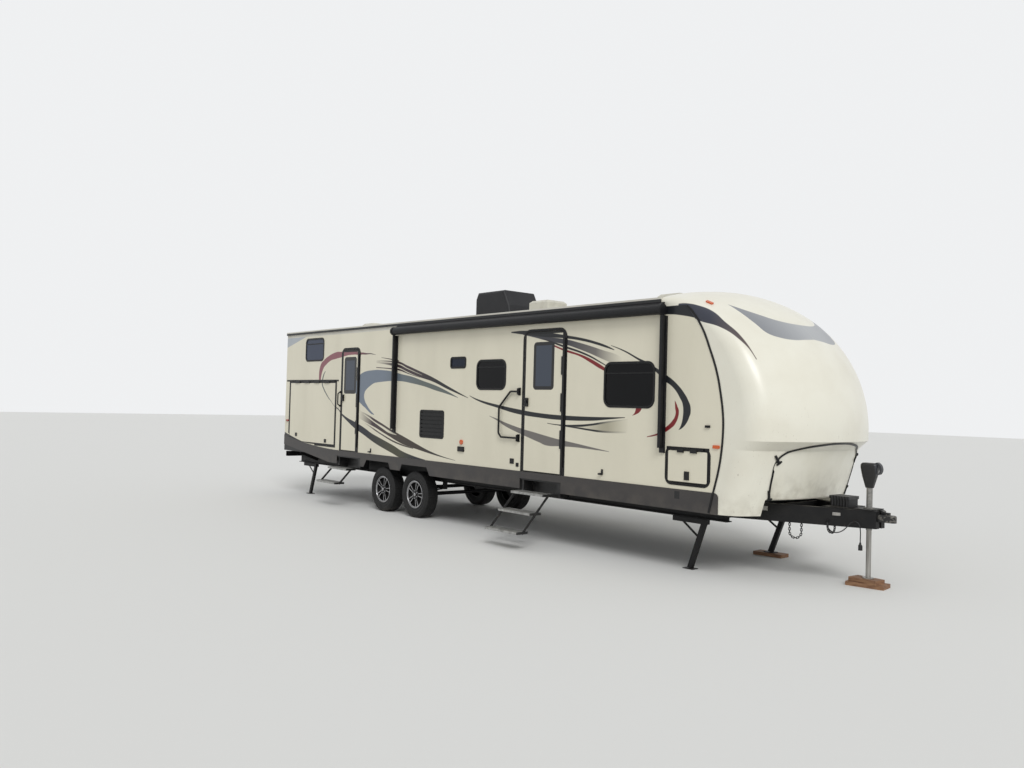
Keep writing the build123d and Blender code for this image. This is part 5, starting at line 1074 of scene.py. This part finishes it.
# Edge of the lift-off cover, from one foot over the arch to the other, as (y, z)
COVER_EDGE = (
    (-0.838, 0.940), (-0.866, 1.180), (-0.862, 1.385), (-0.804, 1.454), (-0.662, 1.512), (-0.35, 1.566),
    (0.0, 1.586), (0.35, 1.566), (0.662, 1.512), (0.804, 1.454), (0.862, 1.385), (0.866, 1.180), (0.838, 0.940),
)
AHEAD_OF_NOSE = 6.15
edge = ribbon("cover_edge_insert", COVER_EDGE, 0.020, 150)
face_on = Matrix(((0, 0, 1, 0), (1, 0, 0, 0), (0, 1, 0, 0), (0, 0, 0, 1)))
edge.data.transform(Matrix.Translation((AHEAD_OF_NOSE, 0, 0)) @ face_on)
modified(
    edge, "SHRINKWRAP", wrap_method="PROJECT", use_project_x=True, use_negative_direction=True,
    use_positive_direction=False, target=nodes["front_cap"], auxiliary_target=nodes["propane_cover"], offset=0.004,
)
thicken(edge, 0.008, 0.0015)
fit(edge, insert_black)

# Draw latches: moulded black rubber T-handles, two on each side of the cover.
# Each is screwed to the cap and stretched over a keeper, so that it pulls the cover's edge tight.
LATCHES = (("upper", 0.862, 1.395, -38), ("lower", 0.842, 0.985, -15))
LATCH_SCALE = 1.35
NECK_LOW, NECK_HIGH = -0.030, 0.022
latch = block("latch", (0.006, 0, 0), (0.012, 0.020, 0.090))
edit(latch)
cuts((0, 0, 1), NECK_LOW, NECK_HIGH)
steps(lambda face: face.calc_center_median().z < NECK_LOW and abs(face.normal.y) > 0.9, (0.001, 0.018))
steps(lambda face: face.calc_center_median().z > NECK_HIGH and face.normal.x > 0.9, (0.003, 0.006))
done()
modified(latch, "BEVEL", width=0.0018, segments=2)
for name, y, z, tilt in LATCHES:
    for hand, side in (("right", -1), ("left", 1)):
        ahead = Vector((7, side * y, z))
        hits = [nodes[part].ray_cast(ahead, Vector((-1, 0, 0))) for part in ("front_cap", "propane_cover")]
        _, where, normal, _ = max((hit for hit in hits if hit[0]), key=lambda hit: hit[1].x)
        out = normal.normalized()
        along = Vector((0, 0, 1)).cross(out).normalized()
        lie = Matrix((out, along, out.cross(along))).transposed().to_4x4()
        leaning = Matrix.Rotation(math.radians(side * tilt), 4, "X")
        matrix = Matrix.Translation(where) @ lie @ leaning @ Matrix.Scale(LATCH_SCALE, 4)
        fit(copied(latch, f"cover_latch_{name}_{hand}", matrix), insert_black)
remove(latch)

# Small fittings on the door side: a power outlet's cover, two switch plates and door holdbacks.
# Each is a black plastic moulding screwed to the wall; the plates are blank.
SMALL = (
    ("outlet_cover", -0.08, 1.22, 0.15, 0.075, 0.022),
    ("switch_plate_large", 1.13, 1.115, 0.085, 0.075, 0.008),
    ("switch_plate_small", 1.25, 1.07, 0.055, 0.055, 0.008),
)
for name, x, z, width, height, deep in SMALL:
    plate = block(name, (x, -WALL_FACE - deep / 2, z), (width, deep, height))
    edit(plate)
    steps(outside, (0.006, 0.0), (0.002, -0.003), (0.004, 0.0), (0.002, 0.003))
    done()
    fit(plate, insert_black)
HOLDBACKS = (("main", 2.92, 1.09), ("rear", -2.72, 1.045))
CLIP_DEPTH = 0.010
for name, x, z in HOLDBACKS:
    clip = block(f"holdback_{name}", (x, -WALL_FACE - CLIP_DEPTH / 2, z), (0.030, CLIP_DEPTH, 0.075))
    edit(clip)
    cuts((0, 0, 1), z - 0.010)
    steps(lambda face: outside(face) and face.calc_center_median().z < z - 0.012, (0.003, 0.030))
    steps(lambda face: face.normal.x < -0.9 and face.calc_center_median().y < -WALL_FACE - 0.012, (0.001, 0.030))
    done()
    modified(clip, "BEVEL", width=0.0015)
    fit(clip, insert_black)

# Ends of the hatch's hinge rail: the black extrusion runs on past the leaf on both sides.
# Each end is screwed to the wall.
RAIL_ENDS = (("rear", -6.05, -5.91), ("front", -4.008, -3.93))
RAIL_DEPTH, RAIL_HEIGHT, RAIL_LEVEL = 0.006, 0.030, 2.295
for name, low_x, high_x in RAIL_ENDS:
    middle = ((low_x + high_x) / 2, -WALL_FACE - RAIL_DEPTH / 2, RAIL_LEVEL)
    rail_end = block(f"hatch_rail_{name}", middle, (high_x - low_x, RAIL_DEPTH, RAIL_HEIGHT))
    modified(rail_end, "BEVEL", width=0.0015, segments=2)
    fit(rail_end, insert_black)

# Data plates on the near beam of the tongue: thin pressed sheet in chalky white, blank.
# Each is held by a rivet at both ends.
plate_pale = mottled(
    "plate_pale", (0.60, 0.59, 0.57), 0.5, (0.62, 0.61, 0.59), (0.40, 0.39, 0.37), (40, 4),
    (0.45, 0.75), (0.3, 0.35), 0.0003,
)
BEAM_TURN = math.atan2(0.660, 1.610)
PLATE_THICK = 0.002
RIVET_RADIUS, RIVET_INSET = 0.003, 0.006
DATA_PLATES = (
    ("frame", (4.892, -0.562, 0.802), 0.095, 0.050),
    ("load", (5.637, -0.257, 0.798), 0.085, 0.034),
)
for name, where, width, height in DATA_PLATES:
    plate = block(f"data_plate_{name}", (0, -PLATE_THICK / 2, 0), (width, PLATE_THICK, height))
    for end in (-1, 1):
        rivet_at = (end * (width / 2 - RIVET_INSET), -PLATE_THICK, 0)
        bpy.ops.mesh.primitive_uv_sphere_add(segments=12, ring_count=8, radius=RIVET_RADIUS, location=rivet_at)
        bpy.ops.object.transform_apply(location=True)
        plate.select_set(True)
        bpy.context.view_layer.objects.active = plate
        bpy.ops.object.join()
    plate.data.transform(Matrix.Translation(where) @ Matrix.Rotation(BEAM_TURN, 4, "Z"))
    fit(plate, plate_pale)

# Floor and soft light: a pale sheet, an even sky and one wide lamp ahead of the door side.
# The sky shows brighter to the camera and in gloss than it lights the object.
bpy.ops.mesh.primitive_plane_add(size=160)
ground = bpy.context.object
ground.name = "ground"
ground_pale = finish("ground_pale", (0.86, 0.86, 0.85), 0.9)[0]
ground.data.materials.append(ground_pale)
sun_data = bpy.data.lights.new("sun", "SUN")
sun_data.energy = 1.5
sun_data.angle = math.radians(24)
sun = bpy.data.objects.new("sun", sun_data)
sun.rotation_euler = Vector((1.0, -0.62, 1.0)).to_track_quat("Z", "Y").to_euler()
bpy.context.scene.collection.objects.link(sun)
world = bpy.data.worlds.new("sky")
world.use_nodes = True
bpy.context.scene.world = world
sky = Sock(world.node_tree)
rays = [sky.node("ShaderNodeLightPath", out=i) for i in ("Is Camera Ray", "Is Glossy Ray", "Is Transmission Ray")]
seen = sky.maths("MAXIMUM", sky.maths("MAXIMUM", rays[0], rays[1]), rays[2])
background = world.node_tree.nodes["Background"]
background.inputs["Color"].default_value = (0.93, 0.94, 0.95, 1)
sky.tree.links.new((seen * 0.25 + 0.68).socket, background.inputs["Strength"])
